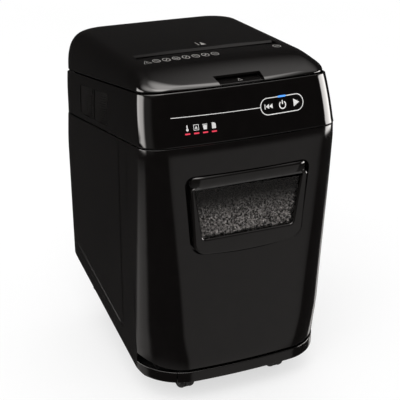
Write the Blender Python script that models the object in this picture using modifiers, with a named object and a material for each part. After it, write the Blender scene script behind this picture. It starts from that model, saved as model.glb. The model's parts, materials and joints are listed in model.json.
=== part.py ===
"""Cross-cut paper shredder with an auto-feed tray under its lid, a pull-out bin and casters.

Metres, +Z up. The origin is on the floor under the middle of the machine, and the front faces -Y.
"""

import math

import bmesh
import bpy
from mathutils import Matrix, Vector

# Driving dimensions of the cabinet
HALF_WIDTH = 0.160
FRONT = -0.204
REAR = 0.204
LID_TOP = 0.531
LID_CROWN = 0.003
GAP = 0.0004
SEAM_GAP = 0.0012
EDGE_GAP = 0.0009
WALL = 0.003

# The two seams slope down to the rear: z = height at y = 0, less the slope times y
LID_SEAM = 0.4871
LID_SLOPE = 0.140
HEAD_SEAM = 0.4100
HEAD_SLOPE = 0.130

# How the plan changes with height
SHOULDER_Z = 0.420
SHOULDER_TO_TOP = 0.090
TOP_DRAFT = 0.007
SHOULDER_TO_FOOT = 0.370
FOOT_DRAFT = 0.003
FASCIA_LEAN = 0.022
FASCIA_HEIGHT = 0.078
BIN_LEAN = 0.010
FRONT_BOW = 0.012
REAR_RADIUS = 0.036
REAR_SQUARING = 0.015
FOOT_ROUNDING = 0.012

# Skirt and plinth
PLINTH_BOTTOM = 0.0385
PLINTH_TOP = 0.0568
SKIRT_START_Y = -0.140
SKIRT_SLOPE = 0.238
SKIRT_REAR_Y = 0.172
SKIRT_REAR_RISE = 0.009
PLINTH_SPLIT_X = 0.112
PLINTH_SPLIT_GAP = 0.0012
BIN_BOTTOM = 0.0612
BIN_FOOT_RISE = 0.0105
BIN_EDGE_Y = -0.1225
REAR_PANEL_X = 0.1000

# Head: cutter block
DECK_Z = 0.372
PLATE_X = 0.1235
PLATE_THICK = 0.003
SHAFT_A = (-0.063, 0.410)
SHAFT_B = (-0.025, 0.410)
DISC_RADIUS = 0.0210
SPACER_RADIUS = 0.0150
DISC_PITCH = 0.0240
DISC_WIDTH = 0.0114
DISC_COUNT = 9
SHAFT_RADIUS = 0.0048
FEED_SHAFT = (0.0156, 0.4425)
FEED_RADIUS = 0.0165
FEED_SHAFT_RADIUS = 0.0035
IDLER = (0.0025, 0.4153)
MOTOR = (0.0364, 0.4033)
MOTOR_RADIUS = 0.0265
INNER_GEARS_X = (0.1275, 0.1345)
OUTER_GEARS_X = (0.1365, 0.1415)
FEED_GEARS_X = (-0.1345, -0.1275)
CUT_MODULE = 0.002
FEED_MODULE = 0.0026
MOTOR_MODULE = 0.0015
SYNC_TEETH = 19
IDLER_TEETH = 9
WHEEL_TEETH = 40
PINION_TEETH = 8
DRIVE_TEETH = 23
FEED_TEETH = 17

# Lid
LID_HINGE = (0.1935, 0.4665)
SLOT_Y = -0.044
SLOT_HALF = 0.115
LATCH_HALF = 0.035
LATCH_Y = -0.1625
LATCH_Z = 0.5132
LATCH_TILT = math.radians(15.0)
LID_DIP = 0.0170
LID_DIP_START = -0.0870
LID_DIP_LENGTH = 0.088
LID_SIDE_STEP = 0.0015
LID_SIDE_TUCK = 0.030
LID_FRONT_STEP = 0.0015
LID_FRONT_TUCK = 0.008
LID_REAR_TUCK = 0.034
PLATE_HINGE = (0.100, 0.4990)
PLATE_LENGTH = 0.133
PLATE_DROP = 0.025

# Window in the bin front
WINDOW_TOP_Z = 0.389
POCKET_FLOOR_Y = -0.1880

# Rocker switch on the rear panel: x, y and z of its pivot
ROCKER_HINGE = (0.0700, 0.1965, 0.2075)

# Casters
CASTER_X = 0.081
CASTER_Y = (-0.136, 0.148)
CASTER_TRAIL = 0.012
WHEEL_RADIUS = 0.018

MACHINE = bpy.data.collections.new("paper_shredder")
CUTTERS = bpy.data.collections.new("cutters")


# ---------------------------------------------------------------- scene and materials

def clear_scene():
    for obj in list(bpy.data.objects):
        bpy.data.objects.remove(obj, do_unlink=True)
    for collection in (MACHINE, CUTTERS):
        bpy.context.scene.collection.children.link(collection)
    CUTTERS.hide_render = True


def material(name, colour, roughness, metallic=0.0, alpha=1.0):
    made = bpy.data.materials.new(name)
    made.use_nodes = True
    shader = made.node_tree.nodes["Principled BSDF"]
    shader.inputs["Base Color"].default_value = (*colour, 1.0)
    shader.inputs["Roughness"].default_value = roughness
    shader.inputs["Metallic"].default_value = metallic
    shader.inputs["Alpha"].default_value = alpha
    return made


def make_materials():
    return {
        "gloss": material("piano_black_plastic", (0.010, 0.009, 0.009), 0.12),
        "satin": material("satin_black_plastic", (0.014, 0.013, 0.013), 0.32),
        "inner": material("moulded_black_plastic", (0.020, 0.020, 0.021), 0.55),
        "smoked": material("smoked_window", (0.03, 0.03, 0.03), 0.08, alpha=0.35),
        "paper": material("shredded_paper", (0.62, 0.61, 0.59), 0.9),
        "steel": material("cutter_steel", (0.55, 0.55, 0.56), 0.35, 1.0),
        "zinc": material("zinc_plate", (0.60, 0.61, 0.63), 0.45, 1.0),
        "nylon": material("gear_nylon", (0.75, 0.74, 0.70), 0.5),
        "rubber": material("feed_rubber", (0.05, 0.05, 0.055), 0.8),
        "tread": material("caster_tread", (0.03, 0.03, 0.03), 0.6),
        "board": material("circuit_board", (0.02, 0.16, 0.07), 0.5),
        "red": material("status_light", (0.75, 0.02, 0.05), 0.3),
        "blue": material("power_light", (0.05, 0.25, 0.85), 0.3),
    }


# ---------------------------------------------------------------- basic shapes

def add_object(name, mesh, look, collection=None):
    obj = bpy.data.objects.new(name, mesh)
    (collection or MACHINE).objects.link(obj)
    if look:
        mesh.materials.clear()
        mesh.materials.append(look)
    return obj


def as_cutter(obj):
    for collection in list(obj.users_collection):
        collection.objects.unlink(obj)
    CUTTERS.objects.link(obj)
    obj.hide_render = True
    obj.display_type = "WIRE"
    return obj


def box(name, low, high, look=None, bevel=0.0, segments=2):
    """A box between two corners, its origin in its middle."""
    bm = bmesh.new()
    bmesh.ops.create_cube(bm, size=1.0)
    size = Vector(high) - Vector(low)
    bmesh.ops.scale(bm, vec=size, verts=bm.verts)
    mesh = bpy.data.meshes.new(name)
    bm.to_mesh(mesh)
    bm.free()
    obj = add_object(name, mesh, look)
    obj.location = (Vector(low) + Vector(high)) / 2
    if bevel:
        rounding = obj.modifiers.new("rounded_edges", "BEVEL")
        rounding.width = bevel
        rounding.segments = segments
        rounding.limit_method = "ANGLE"
    return obj


def rod(name, x_range, centre, radius, look=None, steps=20):
    """A cylinder along X through (y, z), its origin on its axis."""
    bm = bmesh.new()
    bmesh.ops.create_cone(bm, cap_ends=True, segments=steps, radius1=radius, radius2=radius,
                          depth=abs(x_range[1] - x_range[0]), matrix=Matrix.Rotation(math.pi / 2, 4, "Y"))
    mesh = bpy.data.meshes.new(name)
    bm.to_mesh(mesh)
    bm.free()
    obj = add_object(name, mesh, look)
    obj.location = ((x_range[0] + x_range[1]) / 2, *centre)
    return obj


def turned(name, profile, centre, look=None, steps=16, flip=False):
    """A body turned about X through (y, z). The profile runs (x, radius) from left to right."""
    bm = bmesh.new()
    verts = [bm.verts.new((x, 0.0, radius)) for x, radius in profile]
    for first, second in zip(verts, verts[1:]):
        bm.edges.new((first, second))
    mesh = bpy.data.meshes.new(name)
    bm.to_mesh(mesh)
    bm.free()
    obj = add_object(name, mesh, look)
    obj.location = (0.0, *centre)
    screw = obj.modifiers.new("turned", "SCREW")
    screw.axis = "X"
    screw.steps = steps
    screw.render_steps = steps
    screw.use_merge_vertices = True
    screw.merge_threshold = 0.00001
    screw.use_normal_calculate = True
    screw.use_normal_flip = flip
    return obj


def outline_plate(name, points, thickness, look=None, place=None):
    """A flat plate from a closed outline in its own XY plane, placed by a matrix."""
    curve = bpy.data.curves.new(name + "_outline", "CURVE")
    curve.dimensions = "2D"
    curve.fill_mode = "BOTH"
    curve.extrude = thickness / 2
    spline = curve.splines.new("POLY")
    spline.points.add(len(points) - 1)
    for point, (x, y) in zip(spline.points, points):
        point.co = (x, y, 0.0, 1.0)
    spline.use_cyclic_u = True
    guide = add_object(name + "_guide", curve, None)
    bpy.context.view_layer.update()
    graph = bpy.context.evaluated_depsgraph_get()
    mesh = bpy.data.meshes.new_from_object(guide.evaluated_get(graph))
    bpy.data.objects.remove(guide, do_unlink=True)
    bm = bmesh.new()
    bm.from_mesh(mesh)
    bmesh.ops.remove_doubles(bm, verts=bm.verts, dist=0.00001)
    bmesh.ops.recalc_face_normals(bm, faces=bm.faces)
    bm.to_mesh(mesh)
    bm.free()
    mesh.name = name
    obj = add_object(name, mesh, look)
    if place is not None:
        obj.matrix_world = place
    return obj


def facing_x(x, y=0.0, z=0.0):
    """Plate axes: its X along +Y, its Y along +Z, its thickness along +X."""
    return Matrix(((0, 0, 1, x), (1, 0, 0, y), (0, 1, 0, z), (0, 0, 0, 1)))


def facing_front(y):
    """Plate axes: its X along +X, its Y along +Z, its thickness along -Y."""
    return Matrix(((1, 0, 0, 0), (0, 0, -1, y), (0, 1, 0, 0), (0, 0, 0, 1)))


def seam_place(drop, slope=LID_SLOPE, level=LID_SEAM):
    """A frame lying in the lid seam's plane, lowered by drop."""
    turn = Matrix.Rotation(-math.atan(slope), 4, "X")
    return Matrix.Translation((0.0, 0.0, level - drop)) @ turn


def combine(target, other, operation):
    """Cuts or joins with a helper, and keeps the result as the target's own mesh."""
    as_cutter(other)
    step = target.modifiers.new(operation.lower(), "BOOLEAN")
    step.operation = operation
    step.object = other
    return target


def cut(target, *others):
    for other in others:
        combine(target, other, "DIFFERENCE")
    return target


def join(target, *others):
    for other in others:
        combine(target, other, "UNION")
    return target


# ---------------------------------------------------------------- the cabinet's form

def lid_seam(y):
    return LID_SEAM - LID_SLOPE * y


def head_seam(y):
    return HEAD_SEAM - HEAD_SLOPE * y


def skirt_bottom(y):
    rear_round = SKIRT_REAR_RISE * max(0.0, (y - SKIRT_REAR_Y) / (REAR - SKIRT_REAR_Y)) ** 2
    return PLINTH_BOTTOM + SKIRT_SLOPE * max(0.0, y - SKIRT_START_Y) + rear_round


def smooth(low, high, value):
    t = min(1.0, max(0.0, (value - low) / (high - low)))
    return t * t * (3.0 - 2.0 * t)


def half_width(z):
    if z > SHOULDER_Z:
        return HALF_WIDTH - TOP_DRAFT * ((z - SHOULDER_Z) / SHOULDER_TO_TOP) ** 2
    return HALF_WIDTH - FOOT_DRAFT * ((SHOULDER_Z - z) / SHOULDER_TO_FOOT) ** 1.2


def front_y(z):
    """The foremost y of the section at height z: the fascia leans back, the bin falls back to its foot."""
    if z > 0.432:
        return FRONT + 0.0015 + FASCIA_LEAN * (z - 0.432) / FASCIA_HEIGHT
    return FRONT + BIN_LEAN * ((0.432 - z) / 0.362) ** 1.3


def fascia_face(z):
    """The y of the fascia's face in its middle, whose rows slope with the seams."""
    return front_y(z - (HEAD_SLOPE + LID_SLOPE) / 2 * (-0.155 - front_y(z)))


def front_radius(z):
    return 0.060 - 0.030 * smooth(0.06, 0.52, z) + FOOT_ROUNDING * (1.0 - smooth(0.05, 0.13, z))


def rear_radius(z):
    return REAR_RADIUS - REAR_SQUARING * (1.0 - smooth(0.33, 0.45, z))


class Section:
    """Half of the plan at one height: a path from the middle of the front, round +X, to the middle of the rear."""

    def __init__(self, width, front, rear, front_r, rear_r, bow):
        self.width, self.front, self.rear = width, front, rear
        self.front_r, self.rear_r, self.bow = front_r, rear_r, bow
        self.corner = width - front_r
        self.side = self.corner + front_r * math.pi / 2
        self.rear_corner = self.side + (rear - rear_r) - (front + front_r)
        self.back = self.rear_corner + rear_r * math.pi / 2
        self.end = self.back + width - rear_r

    def point(self, along):
        """(x, y) at a length along the path. The front is bowed, which moves the sides only along themselves."""
        if along <= self.corner:
            x, y = along, self.front
        elif along <= self.side:
            turn = (along - self.corner) / self.front_r
            x = self.corner + self.front_r * math.sin(turn)
            y = self.front + self.front_r * (1 - math.cos(turn))
        elif along <= self.rear_corner:
            x, y = self.width, self.front + self.front_r + along - self.side
        elif along <= self.back:
            turn = (along - self.rear_corner) / self.rear_r
            x = self.width - self.rear_r * (1 - math.cos(turn))
            y = self.rear - self.rear_r * (1 - math.sin(turn))
        else:
            x, y = self.end - along, self.rear
        return x, y + self.bow * (x / self.width) ** 2 * (self.rear - y) / (self.rear - self.front)

    def reach(self, y):
        """The length along the path at which it first gets as far back as y."""
        low, high = 0.0, self.back
        for _ in range(40):
            middle = (low + high) / 2
            low, high = (middle, high) if self.point(middle)[1] < y else (low, middle)
        return low


def spread(low, high, steps, with_low=True):
    return [low + (high - low) * i / steps for i in range(0 if with_low else 1, steps + 1)]


def all_round(section, steps):
    """Stations all the way from the front to the rear, with steps for each stretch."""
    ends = (0.0, section.corner, section.side, section.rear_corner, section.back, section.end)
    stations = [0.0]
    for low, high, count in zip(ends, ends[1:], steps):
        stations += spread(low, high, count, False)
    return stations


def cabinet_section(z):
    return Section(half_width(z), front_y(z), REAR, front_radius(z), rear_radius(z), FRONT_BOW)


def lifted(section, stations, z, height_at):
    """The section's points at those stations, at the height that height_at(y) gives."""
    row = []
    for along in stations:
        x, y = section.point(along)
        level = height_at(y)
        row.append((x * half_width(level) / half_width(z), y, level))
    return row


def surface(name, rows, look, faces_wanted=None):
    """An open sheet through rows of points."""
    bm = bmesh.new()
    grid = [[bm.verts.new(point) for point in row] for row in rows]
    for i, (lower, upper) in enumerate(zip(grid, grid[1:])):
        for j in range(len(lower) - 1):
            if faces_wanted is None or faces_wanted(i, j):
                bm.faces.new((lower[j], lower[j + 1], upper[j + 1], upper[j]))
    for vert in [v for v in bm.verts if not v.link_faces]:
        bm.verts.remove(vert)
    mesh = bpy.data.meshes.new(name)
    bm.to_mesh(mesh)
    bm.free()
    mesh.shade_smooth()
    return add_object(name, mesh, look)


def mirrored(obj):
    mirror = obj.modifiers.new("mirrored", "MIRROR")
    mirror.use_clip = True
    mirror.merge_threshold = 0.00001
    return obj


def walled(obj, thickness):
    """Gives a sheet its wall thickness, inwards."""
    wall = obj.modifiers.new("wall", "SOLIDIFY")
    wall.thickness = thickness
    wall.offset = -1.0
    wall.use_even_offset = True
    return obj


def between(lower, upper, share):
    return lambda y: lower(y) + (upper(y) - lower(y)) * share


# ---------------------------------------------------------------- covers of the head

def rear_gap(y):
    """Room behind for the lid to turn down past the head cover's rim."""
    return smooth(0.165, 0.190, y)


def lid_rim(y):
    return lid_seam(y) + SEAM_GAP / 2 + 0.0035 * rear_gap(y)


def cover_rim(y):
    return lid_seam(y) - SEAM_GAP / 2 - 0.0015 * rear_gap(y)


def cover_foot(y):
    return head_seam(y) + SEAM_GAP * 0.8


def body_rim(y):
    return head_seam(y) - SEAM_GAP * 0.7


def fascia_end(z):
    return -0.166 + 0.27 * (z - 0.432)


LID_STEPS = (5, 4, 5, 4, 3)
LID_RING_ROWS = 5


def lid_surface(x, y):
    """Height of the lid's top: nearly flat, and dropping to the front edge."""
    dip = LID_DIP * (max(0.0, LID_DIP_START - y) / LID_DIP_LENGTH) ** 1.5
    return LID_TOP - dip + LID_CROWN * (1.0 - (x / HALF_WIDTH) ** 2) * (1.0 - (y / REAR) ** 2)


def lid_row(turn):
    """A row round the lid, from its rim (turn 0) over its rounded shoulder to the flat top (turn 90 degrees)."""
    rise = math.sin(turn) ** 0.80
    tuck = 1.0 - math.cos(turn) ** 0.80
    front_z = lid_rim(FRONT)
    width = half_width(front_z) - LID_SIDE_STEP - LID_SIDE_TUCK * tuck
    section = Section(width, front_y(front_z) + LID_FRONT_STEP + LID_FRONT_TUCK * tuck, REAR - LID_REAR_TUCK * tuck,
                      0.032 + 0.010 * tuck, REAR_RADIUS + 0.006 * tuck, FRONT_BOW * (1.0 - 0.3 * tuck))
    row = []
    for x, y in map(section.point, all_round(section, LID_STEPS)):
        rim = lid_rim(y)
        side = x * (half_width(rim) - LID_SIDE_STEP - LID_SIDE_TUCK * tuck) / width
        row.append((side, y, rim + (lid_surface(x, y) - rim) * rise))
    return row


def lid_rows():
    rows = [lid_row(math.radians(90) * i / LID_RING_ROWS) for i in range(LID_RING_ROWS + 1)]
    edge = rows[-1]
    for share in (0.12, 0.26, 0.45, 1.0):
        row = []
        for x, y, _ in edge:
            middle = min(0.08, max(-0.06, y))
            place = (x * (1 - share), y * (1 - share) + middle * share)
            row.append((*place, lid_surface(*place)))
        rows.append(row)
    return rows


def make_lid(looks):
    lid = walled(mirrored(surface("lid", lid_rows(), looks["gloss"])), WALL)
    trough = box("lid_trough", (-0.118, SLOT_Y - 0.014, LID_TOP - 0.003), (0.118, SLOT_Y + 0.012, 0.56))
    slot = box("lid_slot", (-SLOT_HALF, SLOT_Y - 0.004, 0.50), (SLOT_HALF, SLOT_Y + 0.004, 0.56))
    pocket = latch_box("latch_pocket", LATCH_HALF + 0.0006, 0.0080, -0.0045, 0.02)
    sides = [box(f"lid_arm_{i}", (x - 0.004, 0.1895, 0.4690), (x + 0.004, 0.2018, 0.4850))
             for i, x in enumerate((-0.078, 0.078))]
    bosses = [rod(f"lid_eye_{i}", (x - 0.004, x + 0.004), LID_HINGE, 0.0052) for i, x in enumerate((-0.078, 0.078))]
    hangers = [box(f"plate_hanger_{i}", (x - 0.0020, 0.092, 0.493), (x + 0.0020, 0.108, LID_TOP - 0.001))
               for i, x in enumerate((-0.0965, 0.0965))]
    bores = rod("lid_bore", (-0.09, 0.09), LID_HINGE, 0.0028)
    hanger_bores = rod("hanger_bore", (-0.1, 0.1), PLATE_HINGE, 0.0034)
    join(lid, *sides, *bosses, *hangers)
    return cut(lid, trough, slot, pocket, bores, hanger_bores)


def latch_box(name, half, length, low, high, look=None, bevel=0.0):
    """A box lying on the slope at the front of the lid."""
    made = box(name, (-half, -length, low), (half, length, high), look, bevel)
    middle = (low + high) / 2
    made.matrix_world = (Matrix.Translation((0.0, LATCH_Y, LATCH_Z)) @ Matrix.Rotation(LATCH_TILT, 4, "X")
                         @ Matrix.Translation((0.0, 0.0, middle)))
    return made


def make_lid_latch(looks):
    return latch_box("lid_latch", LATCH_HALF, 0.0074, -0.0035, 0.0002, looks["gloss"], 0.0006)


def make_lid_inside(looks):
    chute = box("feed_chute", (-0.119, SLOT_Y - 0.0085, 0.4720), (0.119, SLOT_Y + 0.0085, LID_TOP - 0.0050),
                looks["inner"])
    cut(chute, box("chute_way", (-0.116, SLOT_Y - 0.0055, 0.46), (0.116, SLOT_Y + 0.0055, 0.54)))
    half = PLATE_LENGTH / 2
    plate = box("pressure_plate", (-0.090, -half, -0.0012), (0.090, half, 0.0012), looks["inner"])
    drop = math.asin(PLATE_DROP / PLATE_LENGTH)
    middle = (0.0, PLATE_HINGE[0] - half * math.cos(drop), PLATE_HINGE[1] - half * math.sin(drop))
    plate.matrix_world = Matrix.Translation(middle) @ Matrix.Rotation(drop, 4, "X")
    axle = rod("plate_axle", (-0.094, 0.094), PLATE_HINGE, 0.0030)
    join(plate, axle)


def make_head_cover(looks):
    """The two sides and the rear of the head, from one end of the fascia round to the other."""
    rows = []
    for i in range(4):
        height_at = between(cover_foot, cover_rim, i / 3)
        z = height_at(-0.155)
        section = cabinet_section(z)
        start = section.reach(fascia_end(z) + 2 * GAP)
        side = max(section.side, start + 0.006)
        stations = spread(start, side, 3) + spread(side, section.rear_corner, 6, False)
        stations += spread(section.rear_corner, section.back, 5, False) + spread(section.back, section.end, 3, False)
        rows.append(lifted(section, stations, z, height_at))
    cover = walled(mirrored(surface("head_cover", rows, looks["gloss"])), WALL)
    cutters = []
    for side in (-1, 1):
        corners = [(-0.028, 0.4238), (0.104, 0.4078), (0.104, 0.4560), (-0.028, 0.4750)]
        cutters.append(outline_plate(f"vent_hole_{side}", corners, 0.03, place=facing_x(side * 0.158)))
    return cut(cover, *cutters)


def make_vents(looks):
    for side, sign in (("left", -1), ("right", 1)):
        rows = []
        for i in range(3):
            row = []
            for j in range(5):
                y = -0.0275 + 0.131 * j / 4
                low, high = 0.4204 - 0.1212 * y, 0.4710 - 0.1439 * y
                z = low + 0.0006 + (high - low - 0.0012) * i / 2
                row.append((sign * (half_width(z) - 0.0009), y, z))
            rows.append(row if sign > 0 else row[::-1])
        walled(surface(f"vent_grille_{side}", rows, looks["inner"]), 0.0016)


def make_fascia(looks):
    """The control panel, which wraps the two front corners."""
    rows = []
    for i in range(4):
        height_at = between(cover_foot, cover_rim, i / 3)
        z = height_at(-0.155)
        section = cabinet_section(z)
        stations = spread(0.0, section.corner, 8) + spread(section.corner, section.reach(fascia_end(z)), 6, False)
        rows.append(lifted(section, stations, z, height_at))
    fascia = walled(mirrored(surface("control_fascia", rows, looks["gloss"])), 0.0024)
    holes = [key_plate(f"key_hole_{i}", *span, 0.0003, 0.03) for i, span in enumerate(KEY_SPANS.values())]
    windows = [box(f"status_window_{i}", (x - 0.0042, -0.21, STATUS_Z[0]), (x + 0.0042, -0.17, STATUS_Z[1]))
               for i, x in enumerate(STATUS_X)]
    power = box("power_window", (POWER_LIGHT_X[0], -0.21, POWER_LIGHT_Z[0]), (POWER_LIGHT_X[1], -0.17, POWER_LIGHT_Z[1]))
    return cut(fascia, *holes, *windows, power)


CAPSULE = (0.0230, 0.0935)
KEY_Z = (0.4662, 0.4874)
KEY_SPANS = {"key_reverse": (CAPSULE[0], 0.0476), "key_power": (0.0484, 0.0706), "key_forward": (0.0714, CAPSULE[1])}
STATUS_X = (-0.0955, -0.0820, -0.0685, -0.0550)
STATUS_Z = (0.4517, 0.4541)
POWER_LIGHT_X = (0.0524, 0.0650)
POWER_LIGHT_Z = (0.4879, 0.4900)


def key_outline(low_x, high_x, margin):
    """A third of the capsule: its outer end is round where the capsule ends."""
    low_z, high_z = KEY_Z[0] - margin, KEY_Z[1] + margin
    radius, middle = (high_z - low_z) / 2, (KEY_Z[0] + KEY_Z[1]) / 2
    first, last = low_x - margin, high_x + margin
    points = []
    if low_x == CAPSULE[0]:
        for i in range(9):
            turn = math.pi * (0.5 + i / 8)
            points.append((first + radius + radius * math.cos(turn), middle + radius * math.sin(turn)))
    else:
        points += [(first, high_z), (first, low_z)]
    if high_x == CAPSULE[1]:
        for i in range(9):
            turn = math.pi * (i / 8 - 0.5)
            points.append((last - radius + radius * math.cos(turn), middle + radius * math.sin(turn)))
    else:
        points += [(last, low_z), (last, high_z)]
    return points


def key_plate(name, low_x, high_x, margin, depth, look=None):
    lean = math.atan(FASCIA_LEAN / FASCIA_HEIGHT)
    middle = (low_x + high_x) / 2
    level = (KEY_Z[0] + KEY_Z[1]) / 2
    face = fascia_face(level) + FRONT_BOW * (middle / HALF_WIDTH) ** 2
    plate = outline_plate(name, [(x - middle, z - level) for x, z in key_outline(low_x, high_x, margin)], depth, look)
    back = depth / 2 - 0.0006 if look else 0.0
    swing = math.atan(2 * FRONT_BOW * middle / HALF_WIDTH ** 2)
    plate.matrix_world = (Matrix.Translation((middle, face, level)) @ Matrix.Rotation(swing, 4, "Z")
                          @ Matrix.Rotation(-lean, 4, "X")
                          @ Matrix.Translation((0.0, back, 0.0)) @ Matrix.Rotation(math.pi / 2, 4, "X"))
    return plate


def make_controls(looks):
    for name, (low_x, high_x) in KEY_SPANS.items():
        key_plate(name, low_x, high_x, 0.0, 0.0070, looks["gloss"])
    low_z, high_z = STATUS_Z[0] + GAP, STATUS_Z[1] - GAP
    strip = box("status_lights", (STATUS_X[0] - 0.0060, -0.1860, low_z - 0.0020),
                (STATUS_X[-1] + 0.0060, -0.1835, high_z + 0.0020), looks["red"])
    prongs = []
    for i, x in enumerate(STATUS_X):
        face = fascia_face(high_z) + FRONT_BOW * (x / HALF_WIDTH) ** 2
        prongs.append(box(f"status_prong_{i}", (x - 0.0038, face - 0.0001, low_z), (x + 0.0038, -0.1845, high_z)))
    join(strip, *prongs)
    face = fascia_face(POWER_LIGHT_Z[1]) + FRONT_BOW * (POWER_LIGHT_X[0] / HALF_WIDTH) ** 2
    box("power_light", (POWER_LIGHT_X[0] + GAP, face, POWER_LIGHT_Z[0] + GAP),
        (POWER_LIGHT_X[1] - GAP, -0.1785, POWER_LIGHT_Z[1] - GAP), looks["blue"])
    box("control_board", (-0.105, -0.1715, 0.4440), (0.108, -0.1699, 0.4905), looks["board"])


def make_feed_tray(looks):
    """The tray under the lid that holds the stack, with its flange just under the lid seam."""
    section = Section(0.1460, -0.1745, 0.1885, 0.030, 0.036, 0.012)
    half = [section.point(along) for along in all_round(section, (3, 4, 1, 4, 2))]
    ring = half + [(-x, y) for x, y in reversed(half[1:-1])]
    tray = outline_plate("feed_tray", ring, 0.0022, looks["inner"], seam_place(0.0060))
    hollow_low, hollow_high = (-0.1190, -0.1400, -0.0280), (0.1190, 0.1650, 0.05)
    outer = box("tray_outer", (-0.1212, -0.1422, -0.0246), (0.1212, 0.1672, 0.0005))
    outer.matrix_world = seam_place(0.0060) @ outer.matrix_basis.copy()
    hollow = box("tray_hollow", (hollow_low[0], hollow_low[1], -0.0224), hollow_high)
    hollow.matrix_world = seam_place(0.0060) @ hollow.matrix_basis.copy()
    join(tray, outer)
    slot = box("tray_slot", (-0.1165, SLOT_Y - 0.0095, 0.42), (0.1165, SLOT_Y + 0.0095, 0.50))
    windows = [box(f"roller_window_{i}", (x - 0.0195, -0.006, 0.42), (x + 0.0195, 0.036, 0.50))
               for i, x in enumerate((-0.042, 0.042))]
    return hinge_forks(cut(tray, hollow, slot, *windows))


def hinge_forks(tray):
    """Two forks at the rear of the tray's flange, which hold the lid's pins."""
    low_z = lid_seam(0.1885) - 0.0075
    for side, x in (("left", -0.078), ("right", 0.078)):
        join(tray, box(f"fork_{side}", (x - 0.0085, 0.1800, low_z), (x + 0.0085, 0.1915, 0.4712)),
             rod(f"fork_eye_{side}", (x - 0.0085, x + 0.0085), LID_HINGE, 0.0068))
        cut(tray, box(f"fork_gap_{side}", (x - 0.0048, 0.1860, low_z + 0.0012), (x + 0.0048, 0.21, 0.48)),
            rod(f"fork_bore_{side}", (x - 0.02, x + 0.02), LID_HINGE, 0.0026))
    return tray


def make_hinge_pins(looks):
    for side, x in (("left", -0.078), ("right", 0.078)):
        rod(f"hinge_pin_{side}", (x - 0.0090, x + 0.0090), LID_HINGE, 0.0023, looks["steel"])


# ---------------------------------------------------------------- cutter block and drive

def shaft_body(name, centre, offset, ends, look):
    """A cutter shaft turned with its discs: wide cutting discs and narrow spacers."""
    profile = [(ends[0], 0.0), (ends[0], SHAFT_RADIUS), (-0.1160, SHAFT_RADIUS), (-0.1160, SPACER_RADIUS)]
    first = -DISC_PITCH * (DISC_COUNT - 1) / 2
    for i in range(DISC_COUNT):
        middle = first + DISC_PITCH * i + offset
        low, high = middle - DISC_WIDTH / 2, middle + DISC_WIDTH / 2
        profile += [(low, SPACER_RADIUS), (low, DISC_RADIUS), (high, DISC_RADIUS), (high, SPACER_RADIUS)]
    profile += [(0.1160, SPACER_RADIUS), (0.1160, SHAFT_RADIUS), (ends[1], SHAFT_RADIUS), (ends[1], 0.0)]
    return turned(name, profile, centre, look, steps=10, flip=True)


def gear(name, x_range, centre, module, teeth, phase, bore, look):
    """A spur gear about X. Phase is the angle of one tooth, from +Y towards +Z."""
    pitch = 2 * math.pi / teeth
    radius = module * teeth / 2
    points = []
    for i in range(teeth):
        middle = phase + i * pitch
        for turn, reach in ((-0.27, -1.15), (-0.11, 0.80), (0.11, 0.80), (0.27, -1.15)):
            angle = middle + turn * pitch
            points.append(((radius + reach * module) * math.cos(angle), (radius + reach * module) * math.sin(angle)))
    made = outline_plate(name, points, x_range[1] - x_range[0], look,
                         facing_x((x_range[0] + x_range[1]) / 2, *centre))
    if bore:
        cut(made, rod(name + "_bore", (x_range[0] - 0.01, x_range[1] + 0.01), centre, bore))
    return made


def direction(first, second):
    return math.atan2(second[1] - first[1], second[0] - first[0])


def mating_phase(first, second, first_teeth, second_teeth, first_phase):
    """Phase of the second gear that puts one of its gaps where the first gear has a tooth."""
    turn = direction(first, second)
    share = (turn - first_phase) * first_teeth / (2 * math.pi)
    return turn + math.pi - (0.5 - share) * 2 * math.pi / second_teeth


def make_cutters(looks):
    shaft_body("cutter_shaft_a", SHAFT_A, -DISC_PITCH / 4, (-0.1262, INNER_GEARS_X[1] - 0.0005), looks["steel"])
    shaft_body("cutter_shaft_b", SHAFT_B, DISC_PITCH / 4, (FEED_GEARS_X[0], INNER_GEARS_X[1] - 0.0005),
               looks["steel"])
    grip = SHAFT_RADIUS + 0.0003
    gear("sync_gear_a", INNER_GEARS_X, SHAFT_A, CUT_MODULE, SYNC_TEETH, 0.0, grip, looks["steel"])
    phase_b = mating_phase(SHAFT_A, SHAFT_B, SYNC_TEETH, SYNC_TEETH, 0.0)
    gear("sync_gear_b", INNER_GEARS_X, SHAFT_B, CUT_MODULE, SYNC_TEETH, phase_b, grip, looks["steel"])
    gear("feed_drive_gear", FEED_GEARS_X, SHAFT_B, FEED_MODULE, DRIVE_TEETH, 0.0, grip, looks["nylon"])
    phase_feed = mating_phase(SHAFT_B, FEED_SHAFT, DRIVE_TEETH, FEED_TEETH, 0.0)
    gear("feed_gear", FEED_GEARS_X, FEED_SHAFT, FEED_MODULE, FEED_TEETH, phase_feed, FEED_SHAFT_RADIUS + 0.0003,
         looks["nylon"])
    make_idler(looks, phase_b)
    for name, teeth_side, bar in (("stripper_front", -1, (-0.0945, -0.0875)), ("stripper_rear", 1, (-0.0005, 0.0055))):
        make_stripper(name, teeth_side, bar, looks["inner"])


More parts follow.
